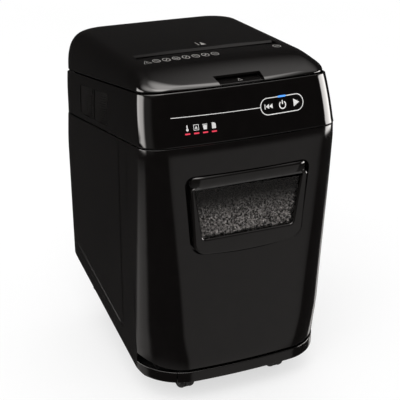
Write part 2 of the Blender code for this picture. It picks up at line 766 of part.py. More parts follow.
def make_idler(looks, phase_b):
    """The compound gear between the motor's pinion and shaft B, and the motor's shaft with its pinion."""
    phase = mating_phase(SHAFT_B, IDLER, SYNC_TEETH, IDLER_TEETH, phase_b)
    small = gear("idler_small", (INNER_GEARS_X[0], OUTER_GEARS_X[0] + 0.001), IDLER, CUT_MODULE, IDLER_TEETH, phase,
                 None, None)
    wheel = gear("idler_gear", OUTER_GEARS_X, IDLER, MOTOR_MODULE, WHEEL_TEETH, 0.0, None, looks["nylon"])
    join(wheel, small)
    cut(wheel, rod("idler_bore", (0.11, 0.16), IDLER, 0.0033))
    pinion_phase = mating_phase(IDLER, MOTOR, WHEEL_TEETH, PINION_TEETH, 0.0)
    pinion = gear("motor_shaft", OUTER_GEARS_X, MOTOR, MOTOR_MODULE, PINION_TEETH, pinion_phase, None, looks["steel"])
    join(pinion, rod("motor_shaft_rod", (-0.014, OUTER_GEARS_X[0] + 0.001), MOTOR, 0.0028))


def make_stripper(name, side, bar, look):
    """A comb whose fingers reach between the discs of one shaft, flat in plan."""
    base, root = (bar[0], bar[1]) if side < 0 else (bar[1], bar[0])
    shaft_y, offset = (SHAFT_A[0], -DISC_PITCH / 4) if side < 0 else (SHAFT_B[0], DISC_PITCH / 4)
    tip = shaft_y + side * (SPACER_RADIUS + 0.0010)
    points = [(-0.1215, base), (-0.1215, root)]
    first = -DISC_PITCH * (DISC_COUNT - 2) / 2
    for i in range(DISC_COUNT - 1):
        middle = first + DISC_PITCH * i + offset
        points += [(middle + across, reach) for across, reach in
                   ((-0.005, root), (-0.005, tip), (0.005, tip), (0.005, root))]
    points += [(0.1215, root), (0.1215, base)]
    place = Matrix.Translation((0.0, 0.0, SHAFT_A[1] - 0.0060))
    return outline_plate(name, points, 0.0100, look, place)


def make_block_frame(looks):
    deck_low, deck_high = (-0.1490, -0.1500, DECK_Z), (0.1490, 0.1920, DECK_Z + 0.0030)
    deck = box("head_deck", deck_low, deck_high, looks["inner"])
    cut(deck, box("deck_mouth", (-0.1180, -0.0900, 0.36), (0.1180, 0.0030, 0.38)),
        box("deck_corner_left", (-0.2, 0.165, 0.36), (-0.125, 0.25, 0.38)),
        box("deck_corner_right", (0.125, 0.165, 0.36), (0.2, 0.25, 0.38)))
    for side, x in (("left", -0.0430), ("right", 0.0430)):
        join(deck, box(f"flap_lug_{side}", (x - 0.0010, 0.0260, 0.3635), (x + 0.0010, 0.0340, DECK_Z + 0.0010)))
        cut(deck, rod(f"lug_bore_{side}", (x - 0.01, x + 0.01), (0.0300, 0.3670), 0.0022))
    top = lambda y: LID_SEAM - 0.0060 - 0.0262 - LID_SLOPE * y
    low = DECK_Z + 0.0033
    outline = [(-0.0990, low), (0.0780, low), (0.0780, top(0.078)), (-0.0990, top(-0.099))]
    for side, x in (("left", -PLATE_X), ("right", PLATE_X)):
        plate = outline_plate(f"cutter_plate_{side}", outline, PLATE_THICK, looks["zinc"], facing_x(x))
        span = (x - 0.01, x + 0.01)
        bores = [rod(f"bore_{side}_{i}", span, centre, radius) for i, (centre, radius) in enumerate((
            (SHAFT_A, SHAFT_RADIUS + 0.0003), (SHAFT_B, SHAFT_RADIUS + 0.0003),
            (FEED_SHAFT, FEED_SHAFT_RADIUS + 0.0003), (MOTOR, 0.0032)))]
        cut(plate, *bores)
        if x > 0:
            join(plate, rod("idler_stud", (x, 0.1430), IDLER, 0.0030))
    for name, centre in (("tie_rod_front", (-0.090, 0.4300)), ("tie_rod_rear", (0.0700, 0.3900))):
        rod(name, (-PLATE_X + 0.0018, PLATE_X - 0.0018), centre, 0.0038, looks["zinc"], steps=12)


def make_motor(looks):
    body = rod("motor_body", (0.0050, 0.1216), MOTOR, MOTOR_RADIUS, looks["zinc"], steps=24)
    cut(body, rod("motor_way", (-0.01, 0.14), MOTOR, 0.0034))
    fan = gear("motor_fan", (-0.0120, 0.0010), MOTOR, 0.0044, 9, 0.0, 0.0031, looks["nylon"])
    feed = rod("feed_shaft", (FEED_GEARS_X[0], 0.1255), FEED_SHAFT, FEED_SHAFT_RADIUS, looks["steel"], steps=14)
    for side, x in (("left", -0.042), ("right", 0.042)):
        tyre = rod(f"feed_roller_{side}", (x - 0.017, x + 0.017), FEED_SHAFT, FEED_RADIUS, looks["rubber"], steps=24)
        cut(tyre, rod(f"roller_bore_{side}", (x - 0.03, x + 0.03), FEED_SHAFT, FEED_SHAFT_RADIUS + 0.0003))
    return body, fan, feed


# ---------------------------------------------------------------- cabinet

def bin_edge_y(z):
    """Where the bin front ends on the side: it reaches further back beside the window."""
    upper = -0.1150 + 0.126 * (0.427 - z)
    share = smooth(0.281, 0.309, z)
    return BIN_EDGE_Y * (1 - share) + upper * share


def bin_foot(y):
    return BIN_BOTTOM + BIN_FOOT_RISE * smooth(-0.190, -0.130, y)


LEVELS = (0.0, 0.20, 0.42, 0.575, 0.600, 0.625, 0.650, 0.80, 1.0)


def make_bin_front(looks):
    rows = []
    for share in LEVELS:
        height_at = between(bin_foot, body_rim, share)
        z = height_at(FRONT + 0.02)
        section = cabinet_section(z)
        stop = section.reach(bin_edge_y(height_at(BIN_EDGE_Y)) - EDGE_GAP)
        stations = spread(0.0, section.corner, 6) + spread(section.corner, stop, 8, False)
        rows.append(lifted(section, stations, z, height_at))
    front = walled(mirrored(surface("bin_front", rows, looks["satin"])), WALL)
    tub = window_plate("pocket_tub", 0.0032, -0.1945, POCKET_FLOOR_Y + 0.0028)
    pocket = window_plate("pocket", 0.0, -0.23, POCKET_FLOOR_Y)
    opening = glass_plate("pocket_opening", 0.0010, -0.21, -0.17)
    join(front, tub)
    return cut(front, pocket, opening)


def rounded(corners, radii, steps=5):
    """A closed outline with a round at each corner, taken anticlockwise."""
    points = []
    count = len(corners)
    for i, radius in enumerate(radii):
        corner = Vector(corners[i])
        back = (Vector(corners[i - 1]) - corner).normalized()
        ahead = (Vector(corners[(i + 1) % count]) - corner).normalized()
        reach = min(radius, 1.0) / math.tan(back.angle(ahead) / 2)
        start, end = corner + back * reach, corner + ahead * reach
        centre = corner + (back + ahead).normalized() * math.hypot(radius, reach)
        for k in range(steps + 1):
            blend = start.lerp(end, k / steps) - centre
            points.append(tuple(centre + blend.normalized() * radius))
    return points


def bowed_foot(points, depth):
    """Lets the lower edge of an outline sag to depth in its middle."""
    half = max(abs(x) for x, _ in points)
    middle = sum(z for _, z in points) / len(points)
    return [(x, z - depth * (1 - (x / half) ** 2) if z < middle else z) for x, z in points]


def with_foot_points(points):
    """Adds points along the lower edge, so that it can sag smoothly."""
    made = []
    count = len(points)
    for i, (x, z) in enumerate(points):
        made.append((x, z))
        next_x, next_z = points[(i + 1) % count]
        if abs(next_x - x) > 0.10 and z < 0.33:
            made += [(x + (next_x - x) * k / 8, z + (next_z - z) * k / 8) for k in range(1, 8)]
    return made


def plate_between(name, points, front, back, look=None):
    return outline_plate(name, points, back - front, look, facing_front((front + back) / 2))


def window_plate(name, margin, front, back):
    """The pocket in the bin front that the window and handle sit in."""
    corners = [(-0.0930 - margin, 0.2650 - margin), (0.0930 + margin, 0.2650 - margin),
               (0.1040 + margin, WINDOW_TOP_Z + margin), (-0.1040 - margin, WINDOW_TOP_Z + margin)]
    points = rounded(corners, (0.020, 0.020, 0.014, 0.014))
    return plate_between(name, bowed_foot(with_foot_points(points), 0.008), front, back)


def glass_plate(name, margin, front, back, look=None):
    corners = [(-0.0755 - margin, 0.2870 - margin), (0.0755 + margin, 0.2870 - margin),
               (0.0885 + margin, 0.3700 + margin), (-0.0885 - margin, 0.3700 + margin)]
    return plate_between(name, rounded(corners, (0.006,) * 4, 3), front, back, look)


def make_window(looks):
    corners = [(-0.0885, 0.2655), (0.0915, 0.2655), (0.0990, 0.3712), (-0.0945, 0.3712)]
    points = bowed_foot(with_foot_points(rounded(corners, (0.018, 0.018, 0.006, 0.006))), 0.0075)
    frame = plate_between("window_frame", points, -0.2020, -0.1908, looks["gloss"])
    cut(frame, glass_plate("frame_opening", 0.0, -0.22, -0.18))
    glass_plate("window_lens", 0.0038, -0.1904, -0.1884, looks["smoked"])
    corners = [(-0.0910, 0.3718), (0.0910, 0.3718), (0.0925, 0.3872), (-0.0925, 0.3872)]
    handle = plate_between("bin_handle", rounded(corners, (0.002, 0.002, 0.005, 0.005), 3), -0.2030, -0.1908,
                           looks["gloss"])
    join(handle, box("handle_foot", (-0.0860, -0.1930, 0.3750), (0.0860, POCKET_FLOOR_Y - 0.0003, 0.3850)))
    return frame, handle


def tub_block(name, inset, z_range, look=None):
    """The tub's plan, with its front corners cut back to follow the bin front, raised to a block."""
    side, rear, front = 0.1240 - inset, 0.1650 - inset, -0.1755 + inset
    points = [(-side, rear), (-side, -0.1440 + inset), (-0.0950 + inset, front), (0.0950 - inset, front),
              (side, -0.1440 + inset), (side, rear)]
    middle = (z_range[0] + z_range[1]) / 2
    return outline_plate(name, points, z_range[1] - z_range[0], look, Matrix.Translation((0.0, 0.0, middle)))


def make_bin(looks):
    tub = tub_block("bin_tub", 0.0, (0.0680, 0.3450), looks["inner"])
    cut(tub, tub_block("tub_hollow", 0.0020, (0.0700, 0.36)),
        box("tub_window", (-0.0960, -0.20, 0.2500), (0.0960, -0.16, 0.36)))
    pile = tub_block("shredded_paper", 0.0025, (0.0705, 0.3620), looks["paper"])
    slope = outline_plate("pile_slope", [(-0.20, 0.3590), (-0.1500, 0.3560), (-0.1100, 0.3420), (-0.0400, 0.3130),
                                         (0.0700, 0.2820), (0.20, 0.2660), (0.20, 0.40), (-0.20, 0.40)], 0.40,
                          place=facing_x(0.0))
    cut(pile, slope)
    return tub


PLINTH_SECTION_Z = 0.052
PLINTH_STEP = 0.0005


def plinth_section():
    z = PLINTH_SECTION_Z
    return Section(half_width(z), front_y(z) - PLINTH_STEP, REAR, front_radius(z), rear_radius(z), FRONT_BOW)


def plinth_top(_):
    return PLINTH_TOP


def wrap_row(section, height_at):
    """The plinth's corner: from its split line round to the bin's rear edge."""
    low = PLINTH_SPLIT_X + PLINTH_SPLIT_GAP
    stations = spread(low, section.reach(BIN_EDGE_Y), 6)
    return [(*place, height_at(place[1])) for place in map(section.point, stations)]


def side_row(height_at):
    """One row of the side, from the bin's edge to the rear panel."""
    z = height_at(0.0)
    section = cabinet_section(z)
    first = section.reach(bin_edge_y(height_at(BIN_EDGE_Y)) + EDGE_GAP)
    stations = spread(first, max(section.side, first + 0.006), 2)
    stations += spread(stations[-1], section.rear_corner, 5, False)
    stations += spread(section.rear_corner, section.back, 5, False)
    stations.append(section.end - REAR_PANEL_X - GAP)
    return lifted(section, stations, z, height_at)


def side_rows():
    """Row 0 is the lower edge and row 1 the plinth's top. The plinth's corner has only those two."""
    section = plinth_section()
    corner_count = len(wrap_row(section, skirt_bottom)) - 1
    rows = []
    low, high = skirt_bottom(BIN_EDGE_Y), body_rim(BIN_EDGE_Y)
    heights = [PLINTH_TOP] + [between(bin_foot, body_rim, share)(BIN_EDGE_Y) for share in LEVELS[1:]]
    for level, share in enumerate([0.0] + [(height - low) / (high - low) for height in heights]):
        side = side_row(between(skirt_bottom, body_rim, share))
        corner = wrap_row(section, plinth_top if level else skirt_bottom)[:-1]
        rows.append(corner + side)
    return rows, corner_count


def make_side_panels(looks):
    rows, corner_count = side_rows()
    for side, sign in (("left", -1), ("right", 1)):
        points = [[(sign * x, y, z) for x, y, z in row][::sign] for row in rows]
        count = len(points[0])

        def wanted(i, j, sign=sign):
            column = j if sign > 0 else count - 2 - j
            return column >= corner_count or i == 0

        walled(surface(f"side_panel_{side}", points, looks["satin"], wanted), WALL)


def make_rear_panel(looks):
    low = skirt_bottom(REAR)
    panel = box("rear_panel", (-REAR_PANEL_X, REAR - WALL, low), (REAR_PANEL_X, REAR, body_rim(REAR)),
                looks["satin"])
    cut(panel, box("inlet_hole", (0.0550, 0.19, 0.1720), (0.0850, 0.22, 0.2200)))
    inlet = box("power_inlet", (0.0553, 0.1800, 0.1723), (0.0847, 0.2036, 0.2197), looks["inner"], 0.0010)
    cut(inlet, box("inlet_socket", (0.0580, 0.1860, 0.1755), (0.0820, 0.22, 0.1925)),
        box("rocker_well", (0.0612, 0.1860, 0.2010), (0.0788, 0.22, 0.2140)))
    profile = [(-0.0022, -0.0046), (0.0072, -0.0054), (0.0060, 0.0), (0.0072, 0.0054), (-0.0022, 0.0046)]
    rocker = outline_plate("rocker_switch", profile, 0.0168, looks["inner"], facing_x(*ROCKER_HINGE))
    box("bin_sensor", (-0.0900, 0.1820, 0.2500), (-0.0650, 0.2005, 0.2700), looks["inner"], 0.0008)
    return rocker


def pan_corner_wall(side):
    """Corners of a short wall that closes the pan behind its cut-back front corner."""
    near, far = 0.1040, 0.1275
    low, high = (near, far) if side > 0 else (-far, -near)
    return (low, -0.1490, 0.0440), (high, -0.1460, 0.0555)


def make_base(looks):
    pan = box("base_pan", (-0.1280, -0.1640, 0.0420), (0.1280, 0.1800, 0.1380), looks["inner"])
    hollow = box("pan_hollow", (-0.1255, -0.1615, 0.0450), (0.1255, 0.1775, 0.20))
    slope = outline_plate("pan_slope", [(-0.20, 0.0560), (-0.1000, 0.0560), (0.2200, 0.1350), (0.2200, 0.20), (-0.20, 0.20)],
                          0.40, place=facing_x(0.0))
    stems = []
    for x in (-CASTER_X, CASTER_X):
        for y in CASTER_Y:
            stem = post(f"stem_hole_{len(stems)}", (x, y - CASTER_TRAIL), (0.03, 0.06), 0.0046)
            stems.append(stem)
    corners = [box(f"pan_corner_{i}", (low, -0.20, 0.03), (high, -0.1480, 0.15))
               for i, (low, high) in enumerate(((-0.15, -0.1100), (0.1100, 0.15)))]
    cut(pan, hollow, slope, *stems)
    for side in (-1, 1):
        join(pan, box(f"pan_wall_{side}", *map(tuple, pan_corner_wall(side))))
    cut(pan, *corners)
    for side, x in (("left", -0.1040), ("right", 0.1040)):
        join(pan, box(f"bin_rail_{side}", (x - 0.0050, -0.1500, 0.0440), (x + 0.0050, 0.1750, 0.0676)))
    rows = []
    for z in (PLINTH_BOTTOM, PLINTH_TOP):
        section = plinth_section()
        rows.append([(*section.point(along), z) for along in spread(0.0, PLINTH_SPLIT_X, 8)])
    return pan, walled(mirrored(surface("plinth_front", rows, looks["satin"])), WALL)


def post(name, place, z_range, radius, look=None, steps=16):
    """A cylinder along Z."""
    made = rod(name, (0.0, z_range[1] - z_range[0]), (0.0, 0.0), radius, look, steps)
    made.matrix_world = (Matrix.Translation((place[0], place[1], (z_range[0] + z_range[1]) / 2))
                         @ Matrix.Rotation(math.pi / 2, 4, "Y"))
    return made


def make_casters(looks):
    for y_name, y in zip(("front", "rear"), CASTER_Y):
        for side, x in (("left", -CASTER_X), ("right", CASTER_X)):
            name = f"{y_name}_{side}"
            axle = (y, WHEEL_RADIUS)
            r = WHEEL_RADIUS
            profile = [(x - 0.0130, 0.0), (x - 0.0130, r - 0.002), (x - 0.0115, r), (x - 0.0055, r),
                       (x - 0.0045, r - 0.002), (x - 0.0045, 0.0030), (x + 0.0045, 0.0030), (x + 0.0045, r - 0.002),
                       (x + 0.0055, r), (x + 0.0115, r), (x + 0.0130, r - 0.002), (x + 0.0130, 0.0)]
            turned(f"caster_wheel_{name}", profile, axle, looks["tread"], steps=12)
            swivel_y = y - CASTER_TRAIL
            web = [(y - 0.0165, 0.0250), (y - 0.0050, 0.0110), (y + 0.0060, 0.0130), (y + 0.0120, 0.0250),
                   (y + 0.0100, 0.0330), (y, 0.0395), (y - 0.0165, 0.0395)]
            housing = outline_plate(f"caster_housing_{name}", web, 0.0080, looks["inner"], facing_x(x))
            hood_outline = [(y - 0.0175, 0.0372), (y - 0.0175, 0.0404), (y + 0.0060, 0.0404), (y + 0.0060, 0.0372)]
            hood = outline_plate(f"hood_{name}", hood_outline, 0.0250, place=facing_x(x))
            stem = post(f"stem_{name}", (x, swivel_y), (0.0390, 0.0560), 0.0040, steps=10)
            join(housing, hood, stem)
            cut(housing, rod(f"axle_bore_{name}", (x - 0.02, x + 0.02), axle, 0.0034, steps=12))


def make_flap(looks):
    flap = box("bin_full_flap", (-0.0400, 0.0292, 0.3475), (0.0400, 0.0308, 0.3665), looks["inner"])
    join(flap, rod("flap_axle", (-0.0440, 0.0440), (0.0300, 0.3670), 0.0018, steps=10))
    return flap


def build():
    clear_scene()
    looks = make_materials()
    make_lid(looks)
    make_lid_latch(looks)
    make_lid_inside(looks)
    make_head_cover(looks)
    make_vents(looks)
    make_fascia(looks)
    make_controls(looks)
    make_feed_tray(looks)
    make_hinge_pins(looks)
    make_cutters(looks)
    make_block_frame(looks)
    make_motor(looks)
    make_bin_front(looks)
    make_window(looks)
    make_bin(looks)
    make_side_panels(looks)
    make_rear_panel(looks)
    make_base(looks)
    make_casters(looks)
    make_flap(looks)


build()
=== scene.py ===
"""Looks of the paper shredder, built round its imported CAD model. Metres, +Z up, and the front faces -Y."""

import json
import math
import random

import bmesh
import bpy
import numpy as np
from mathutils import Matrix, Vector


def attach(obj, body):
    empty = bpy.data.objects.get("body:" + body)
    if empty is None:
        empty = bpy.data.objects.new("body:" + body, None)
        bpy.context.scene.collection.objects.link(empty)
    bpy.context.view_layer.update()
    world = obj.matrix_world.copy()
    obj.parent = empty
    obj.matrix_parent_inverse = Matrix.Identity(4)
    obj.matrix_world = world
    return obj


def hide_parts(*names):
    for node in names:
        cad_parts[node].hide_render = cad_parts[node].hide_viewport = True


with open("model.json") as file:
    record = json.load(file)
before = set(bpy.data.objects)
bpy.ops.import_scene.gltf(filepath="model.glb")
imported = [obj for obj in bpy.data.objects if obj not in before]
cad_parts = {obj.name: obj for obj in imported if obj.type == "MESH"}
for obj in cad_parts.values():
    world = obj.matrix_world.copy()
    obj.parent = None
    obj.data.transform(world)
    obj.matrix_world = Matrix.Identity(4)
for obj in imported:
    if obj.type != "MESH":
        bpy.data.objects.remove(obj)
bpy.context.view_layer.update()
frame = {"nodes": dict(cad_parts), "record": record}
CAD = frame["nodes"]

# The cabinet's driving dimensions, the same as the CAD model's
HALF_WIDTH = 0.160
FRONT = -0.204
REAR = 0.204
LID_TOP = 0.531
LID_CROWN = 0.003
LID_DIP = 0.0170
LID_DIP_START = -0.0870
LID_DIP_LENGTH = 0.088
LID_SIDE_STEP = 0.0015
LID_SIDE_TUCK = 0.030
LID_FRONT_STEP = 0.0015
LID_FRONT_TUCK = 0.008
LID_REAR_TUCK = 0.034
SEAM_GAP = 0.0012
EDGE_GAP = 0.0009
WALL = 0.003
GAP = 0.0004
LID_SEAM = 0.4871
LID_SLOPE = 0.140
HEAD_SEAM = 0.4100
HEAD_SLOPE = 0.130
SHOULDER_Z = 0.420
SHOULDER_TO_TOP = 0.090
TOP_DRAFT = 0.007
SHOULDER_TO_FOOT = 0.370
FOOT_DRAFT = 0.003
FASCIA_FOOT_Z = 0.432
FASCIA_LEAN = 0.022
FASCIA_HEIGHT = 0.078
BIN_LEAN = 0.010
FRONT_BOW = 0.012
REAR_RADIUS = 0.036
REAR_SQUARING = 0.015
FOOT_ROUNDING = 0.012
PLINTH_BOTTOM = 0.0385
PLINTH_TOP = 0.0568
PLINTH_SECTION_Z = 0.052
PLINTH_STEP = 0.0005
PLINTH_SPLIT_X = 0.112
PLINTH_SPLIT_GAP = 0.0012
SKIRT_START_Y = -0.140
SKIRT_SLOPE = 0.238
SKIRT_REAR_Y = 0.172
SKIRT_REAR_RISE = 0.009
BIN_BOTTOM = 0.0612
BIN_FOOT_RISE = 0.0105
BIN_EDGE_Y = -0.1225
REAR_PANEL_X = 0.1000
SLOT_Y = -0.044
SLOT_HALF = 0.115
SLOT_FRONT, SLOT_REAR = SLOT_Y - 0.0042, SLOT_Y + 0.0044
TROUGH_FRONT, TROUGH_REAR = SLOT_Y - 0.0118, SLOT_Y + 0.0112
TROUGH_HALF = 0.1192
TROUGH_DEPTH = 0.0037
LATCH_FRONT, LATCH_REAR = -0.1748, -0.1552
LATCH_HALF = 0.035
WINDOW_TOP_Z = 0.389
POCKET_FLOOR_Y = -0.1880
FRAME_FRONT_Y, FRAME_BACK_Y = -0.2025, -0.1908
GLASS_FOOT_Z, GLASS_TOP_Z = 0.2870, 0.3700
GLASS_FOOT_HALF, GLASS_TOP_HALF = 0.0755, 0.0885
PANEL_WALL = 0.0024
PANEL_LIP = 0.0016
PANEL_MIDDLE_Y = -0.155
CAPSULE = (0.0230, 0.0935)
KEY_Z = (0.4662, 0.4874)
KEY_SPANS = {"reverse_key": (CAPSULE[0], 0.0476), "power_key": (0.0484, 0.0706),
             "forward_key": (0.0714, CAPSULE[1])}
STATUS_X = (-0.0955, -0.0820, -0.0685, -0.0550)
CASTER_X = 0.081
CASTER_Y = (-0.136, 0.148)
CASTER_TRAIL = 0.012
WHEEL_RADIUS = 0.018
WHEEL_INNER, WHEEL_OUTER = 0.0045, 0.0130
LIP = 0.0011


# ---------------------------------------------------------------- nodes and materials

def node(tree, kind, inputs=None, **settings):
    made = tree.nodes.new(kind)
    for name, value in settings.items():
        setattr(made, name, value)
    for name, value in (inputs or {}).items():
        if isinstance(value, bpy.types.NodeSocket):
            tree.links.new(value, made.inputs[name])
        else:
            made.inputs[name].default_value = value
    return made


def math_node(tree, operation, first, second=0.0, third=0.0):
    return node(tree, "ShaderNodeMath", {0: first, 1: second, 2: third}, operation=operation).outputs[0]


def fresh_material(name, roughness, metallic=0.0, **sockets):
    made = bpy.data.materials.new(name)
    made.use_nodes = True
    shader = made.node_tree.nodes["Principled BSDF"]
    shader.inputs["Roughness"].default_value = roughness
    shader.inputs["Metallic"].default_value = metallic
    for socket, value in sockets.items():
        shader.inputs[socket.replace("_", " ")].default_value = value
    return made, made.node_tree, shader


def noise(tree, scale, detail=3.0, stretch=None, roughness=0.5):
    where = node(tree, "ShaderNodeTexCoord").outputs["Object"]
    if stretch:
        where = node(tree, "ShaderNodeMapping", {"Vector": where, "Scale": stretch}).outputs[0]
    return node(tree, "ShaderNodeTexNoise",
                {"Vector": where, "Scale": scale, "Detail": detail, "Roughness": roughness}).outputs["Fac"]


def ranged(tree, value, low, high, to_low, to_high, eased=False):
    return node(tree, "ShaderNodeMapRange", {"Value": value, "From Min": low, "From Max": high,
                                             "To Min": to_low, "To Max": to_high},
                interpolation_type="SMOOTHSTEP" if eased else "LINEAR").outputs[0]


def two_tones(tree, factor, first, second):
    mix = node(tree, "ShaderNodeMix", data_type="RGBA")
    tree.links.new(factor, mix.inputs["Factor"])
    mix.inputs[6].default_value = (*first, 1.0)
    mix.inputs[7].default_value = (*second, 1.0)
    return mix.outputs[2]


def bumped(tree, shader, height, distance):
    bump = node(tree, "ShaderNodeBump", {"Height": height, "Distance": distance, "Strength": 1.0})
    tree.links.new(bump.outputs[0], shader.inputs["Normal"])


def moulded(name, colour, roughness, grain, depth, uneven=0.25, metallic=0.0, stretch=None, wear_and_sheen=0.0,
            **sockets):
    """Moulded plastic, rubber or metal: fine grain, uneven polish, a faint change of tone, and lighter convex
    edges: worn edges, which on the black trim are a painted highlight.
    """
    made, tree, shader = fresh_material(name, roughness, metallic, **sockets)
    bumped(tree, shader, noise(tree, grain, 4.0, stretch), depth)
    polish = noise(tree, 14.0, 5.0, stretch)
    tree.links.new(ranged(tree, polish, 0.3, 0.7, roughness * (1 - uneven), roughness * (1 + uneven)),
                   shader.inputs["Roughness"])
    tone = two_tones(tree, ranged(tree, noise(tree, 55.0, 4.0), 0.3, 0.7, 0.0, 1.0),
                     [c * 0.85 for c in colour], [c * 1.15 for c in colour])
    # Lighter colour on convex edges, broken up by noise: real wear on most pieces, a painted highlight along
    # the black trim's rounded edges.
    if wear_and_sheen:
        edge = ranged(tree, node(tree, "ShaderNodeNewGeometry").outputs["Pointiness"], 0.53, 0.62, 0.0, wear_and_sheen)
        scuff_and_sheen = math_node(tree, "MULTIPLY", edge, noise(tree, 120.0, 4.0))
        mix = node(tree, "ShaderNodeMix", {"Factor": scuff_and_sheen}, data_type="RGBA")
        tree.links.new(tone, mix.inputs[6])
        mix.inputs[7].default_value = (*[min(1.0, c * 2.5 + 0.05) for c in colour], 1.0)
        tone = mix.outputs[2]
    tree.links.new(tone, shader.inputs["Base Color"])
    return made


def glowing(name, colour, light, strength):
    """A light guide: tinted plastic that glows a little unevenly."""
    made, tree, shader = fresh_material(name, 0.3)
    shader.inputs["Emission Strength"].default_value = strength
    tint = two_tones(tree, noise(tree, 220.0), [c * 0.9 for c in colour], colour)
    tree.links.new(tint, shader.inputs["Base Color"])
    glow = two_tones(tree, noise(tree, 160.0, 2.0), [c * 0.8 for c in light], light)
    tree.links.new(glow, shader.inputs["Emission Color"])
    return made


def smoked_glass():
    made, tree, shader = fresh_material("smoked_window", 0.05, Alpha=0.30)
    bumped(tree, shader, noise(tree, 6.0, 1.0), 0.0002)
    tree.links.new(two_tones(tree, noise(tree, 12.0), (0.006, 0.0055, 0.005), (0.010, 0.009, 0.008)),
                   shader.inputs["Base Color"])
    made.surface_render_method = "BLENDED"
    return made


def paper(name):
    """Shredded office paper: fibrous white with printed patches, and a painted shade that darkens it towards
    the top of the heap.
    """
    made, tree, shader = fresh_material(name, 0.95, Specular_IOR_Level=0.1)
    bumped(tree, shader, noise(tree, 1800.0, 4.0), 0.00012)
    prints = ranged(tree, noise(tree, 300.0, 2.0, roughness=0.7), 0.48, 0.53, 0.0, 1.0)
    tone = two_tones(tree, prints, (0.86, 0.81, 0.78), (0.03, 0.028, 0.027))
    place = node(tree, "ShaderNodeTexCoord").outputs["Object"]
    height = node(tree, "ShaderNodeSeparateXYZ", {0: place}).outputs["Z"]
    # Painted shade: the paper's colour goes near black towards the top of the heap.
    shade = ranged(tree, height, 0.303, 0.351, 0.0, 1.0, True)
    mix = node(tree, "ShaderNodeMix", {"Factor": shade}, data_type="RGBA")
    tree.links.new(tone, mix.inputs[6])
    mix.inputs[7].default_value = (0.006, 0.006, 0.006, 1.0)
    tree.links.new(mix.outputs[2], shader.inputs["Base Color"])
    return made


def circuit_board():
    made, tree, shader = fresh_material("circuit_board", 0.35)
    where = node(tree, "ShaderNodeTexCoord").outputs["Object"]
    brick = node(tree, "ShaderNodeTexBrick", {"Vector": where, "Scale": 90.0, "Mortar Size": 0.012})
    brick.inputs["Color1"].default_value = (0.010, 0.10, 0.035, 1.0)
    brick.inputs["Color2"].default_value = (0.012, 0.13, 0.045, 1.0)
    brick.inputs["Mortar"].default_value = (0.03, 0.26, 0.10, 1.0)
    tree.links.new(brick.outputs["Color"], shader.inputs["Base Color"])
    bumped(tree, shader, brick.outputs["Fac"], 0.0001)
    return made


def make_materials():
    return {
        "gloss_black": moulded("piano_black", (0.0022, 0.0018, 0.0017), 0.045, 900.0, 0.0000015, 0.4),
        # The trim's strong edge lightening is a painted highlight along its rounded edges, not wear.
        "trim_black": moulded("trim_black", (0.0040, 0.0035, 0.0033), 0.06, 900.0, 0.0000015, 0.4, wear_and_sheen=0.9),
        "satin_black": moulded("satin_black", (0.0026, 0.0021, 0.0020), 0.11, 700.0, 0.000004, 0.2),
        "moulded_black": moulded("moulded_black", (0.0075, 0.0072, 0.0072), 0.55, 1500.0, 0.00006, wear_and_sheen=0.25,
                                 Specular_IOR_Level=0.2),
        "vent_black": moulded("vent_black", (0.0040, 0.0036, 0.0034), 0.45, 1500.0, 0.00002,
                              Specular_IOR_Level=0.1),
        "smoked_window": smoked_glass(),
        "paper_shreds": paper("shredded_paper"),
        "cutter_steel": moulded("cutter_steel", (0.52, 0.52, 0.54), 0.28, 300.0, 0.00002, 0.35, 1.0,
                                (1, 6, 6), 0.2),
        "zinc_plate": moulded("zinc_plate", (0.58, 0.59, 0.61), 0.38, 90.0, 0.00003, 0.4, 1.0, None, 0.2),
        "gear_nylon": moulded("gear_nylon", (0.68, 0.66, 0.60), 0.45, 500.0, 0.00004, Subsurface_Weight=0.08),
        "feed_rubber": moulded("feed_rubber", (0.035, 0.035, 0.038), 0.75, 900.0, 0.00012, 0.15),
        "caster_tread": moulded("caster_tread", (0.0050, 0.0048, 0.0048), 0.35, 800.0, 0.00005, wear_and_sheen=0.2),
        "circuit_board": circuit_board(),
        "status_light": glowing("status_red", (0.5, 0.02, 0.04), (1.0, 0.07, 0.13), 0.55),
        "power_light": glowing("power_blue", (0.03, 0.15, 0.5), (0.09, 0.33, 0.95), 0.9),
        "white_print": moulded("white_print", (0.62, 0.61, 0.60), 0.55, 2500.0, 0.00001),
        "grey_print": moulded("grey_print", (0.27, 0.26, 0.25), 0.5, 2500.0, 0.00001),
    }


# ---------------------------------------------------------------- meshes

def add(name, mesh, look, body=None):
    obj = bpy.data.objects.new(name, mesh)
    bpy.context.scene.collection.objects.link(obj)
    if look:
        mesh.materials.clear()
        mesh.materials.append(look)
    if body:
        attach(obj, body)
    return obj


def mesh_from(name, points, faces, sharp=35.0, merge=0.0):
    mesh = bpy.data.meshes.new(name)
    mesh.from_pydata([tuple(p) for p in points], [], faces)
    tidy(mesh, merge)
    finish_shading(mesh, sharp)
    return mesh


def bridge(base, rings, count, closed=False):
    """Faces round a run of rings of count points each, from point base on, with ends unless it is closed."""
    faces = []
    for i in range(rings if closed else rings - 1):
        first, second = base + i * count, base + (i + 1) % rings * count
        for k in range(count):
            after = (k + 1) % count
            faces.append((first + k, first + after, second + after, second + k))
    if not closed:
        faces.append(tuple(range(base, base + count))[::-1])
        faces.append(tuple(range(base + (rings - 1) * count, base + rings * count)))
    return faces


def tidy(mesh, merge=0.0):
    bm = bmesh.new()
    bm.from_mesh(mesh)
    if merge:
        bmesh.ops.remove_doubles(bm, verts=bm.verts, dist=merge)
    bmesh.ops.recalc_face_normals(bm, faces=bm.faces)
    bm.to_mesh(mesh)
    bm.free()


def finish_shading(mesh, sharp=35.0):
    mesh.shade_smooth()
    mesh.set_sharp_from_angle(angle=math.radians(sharp))


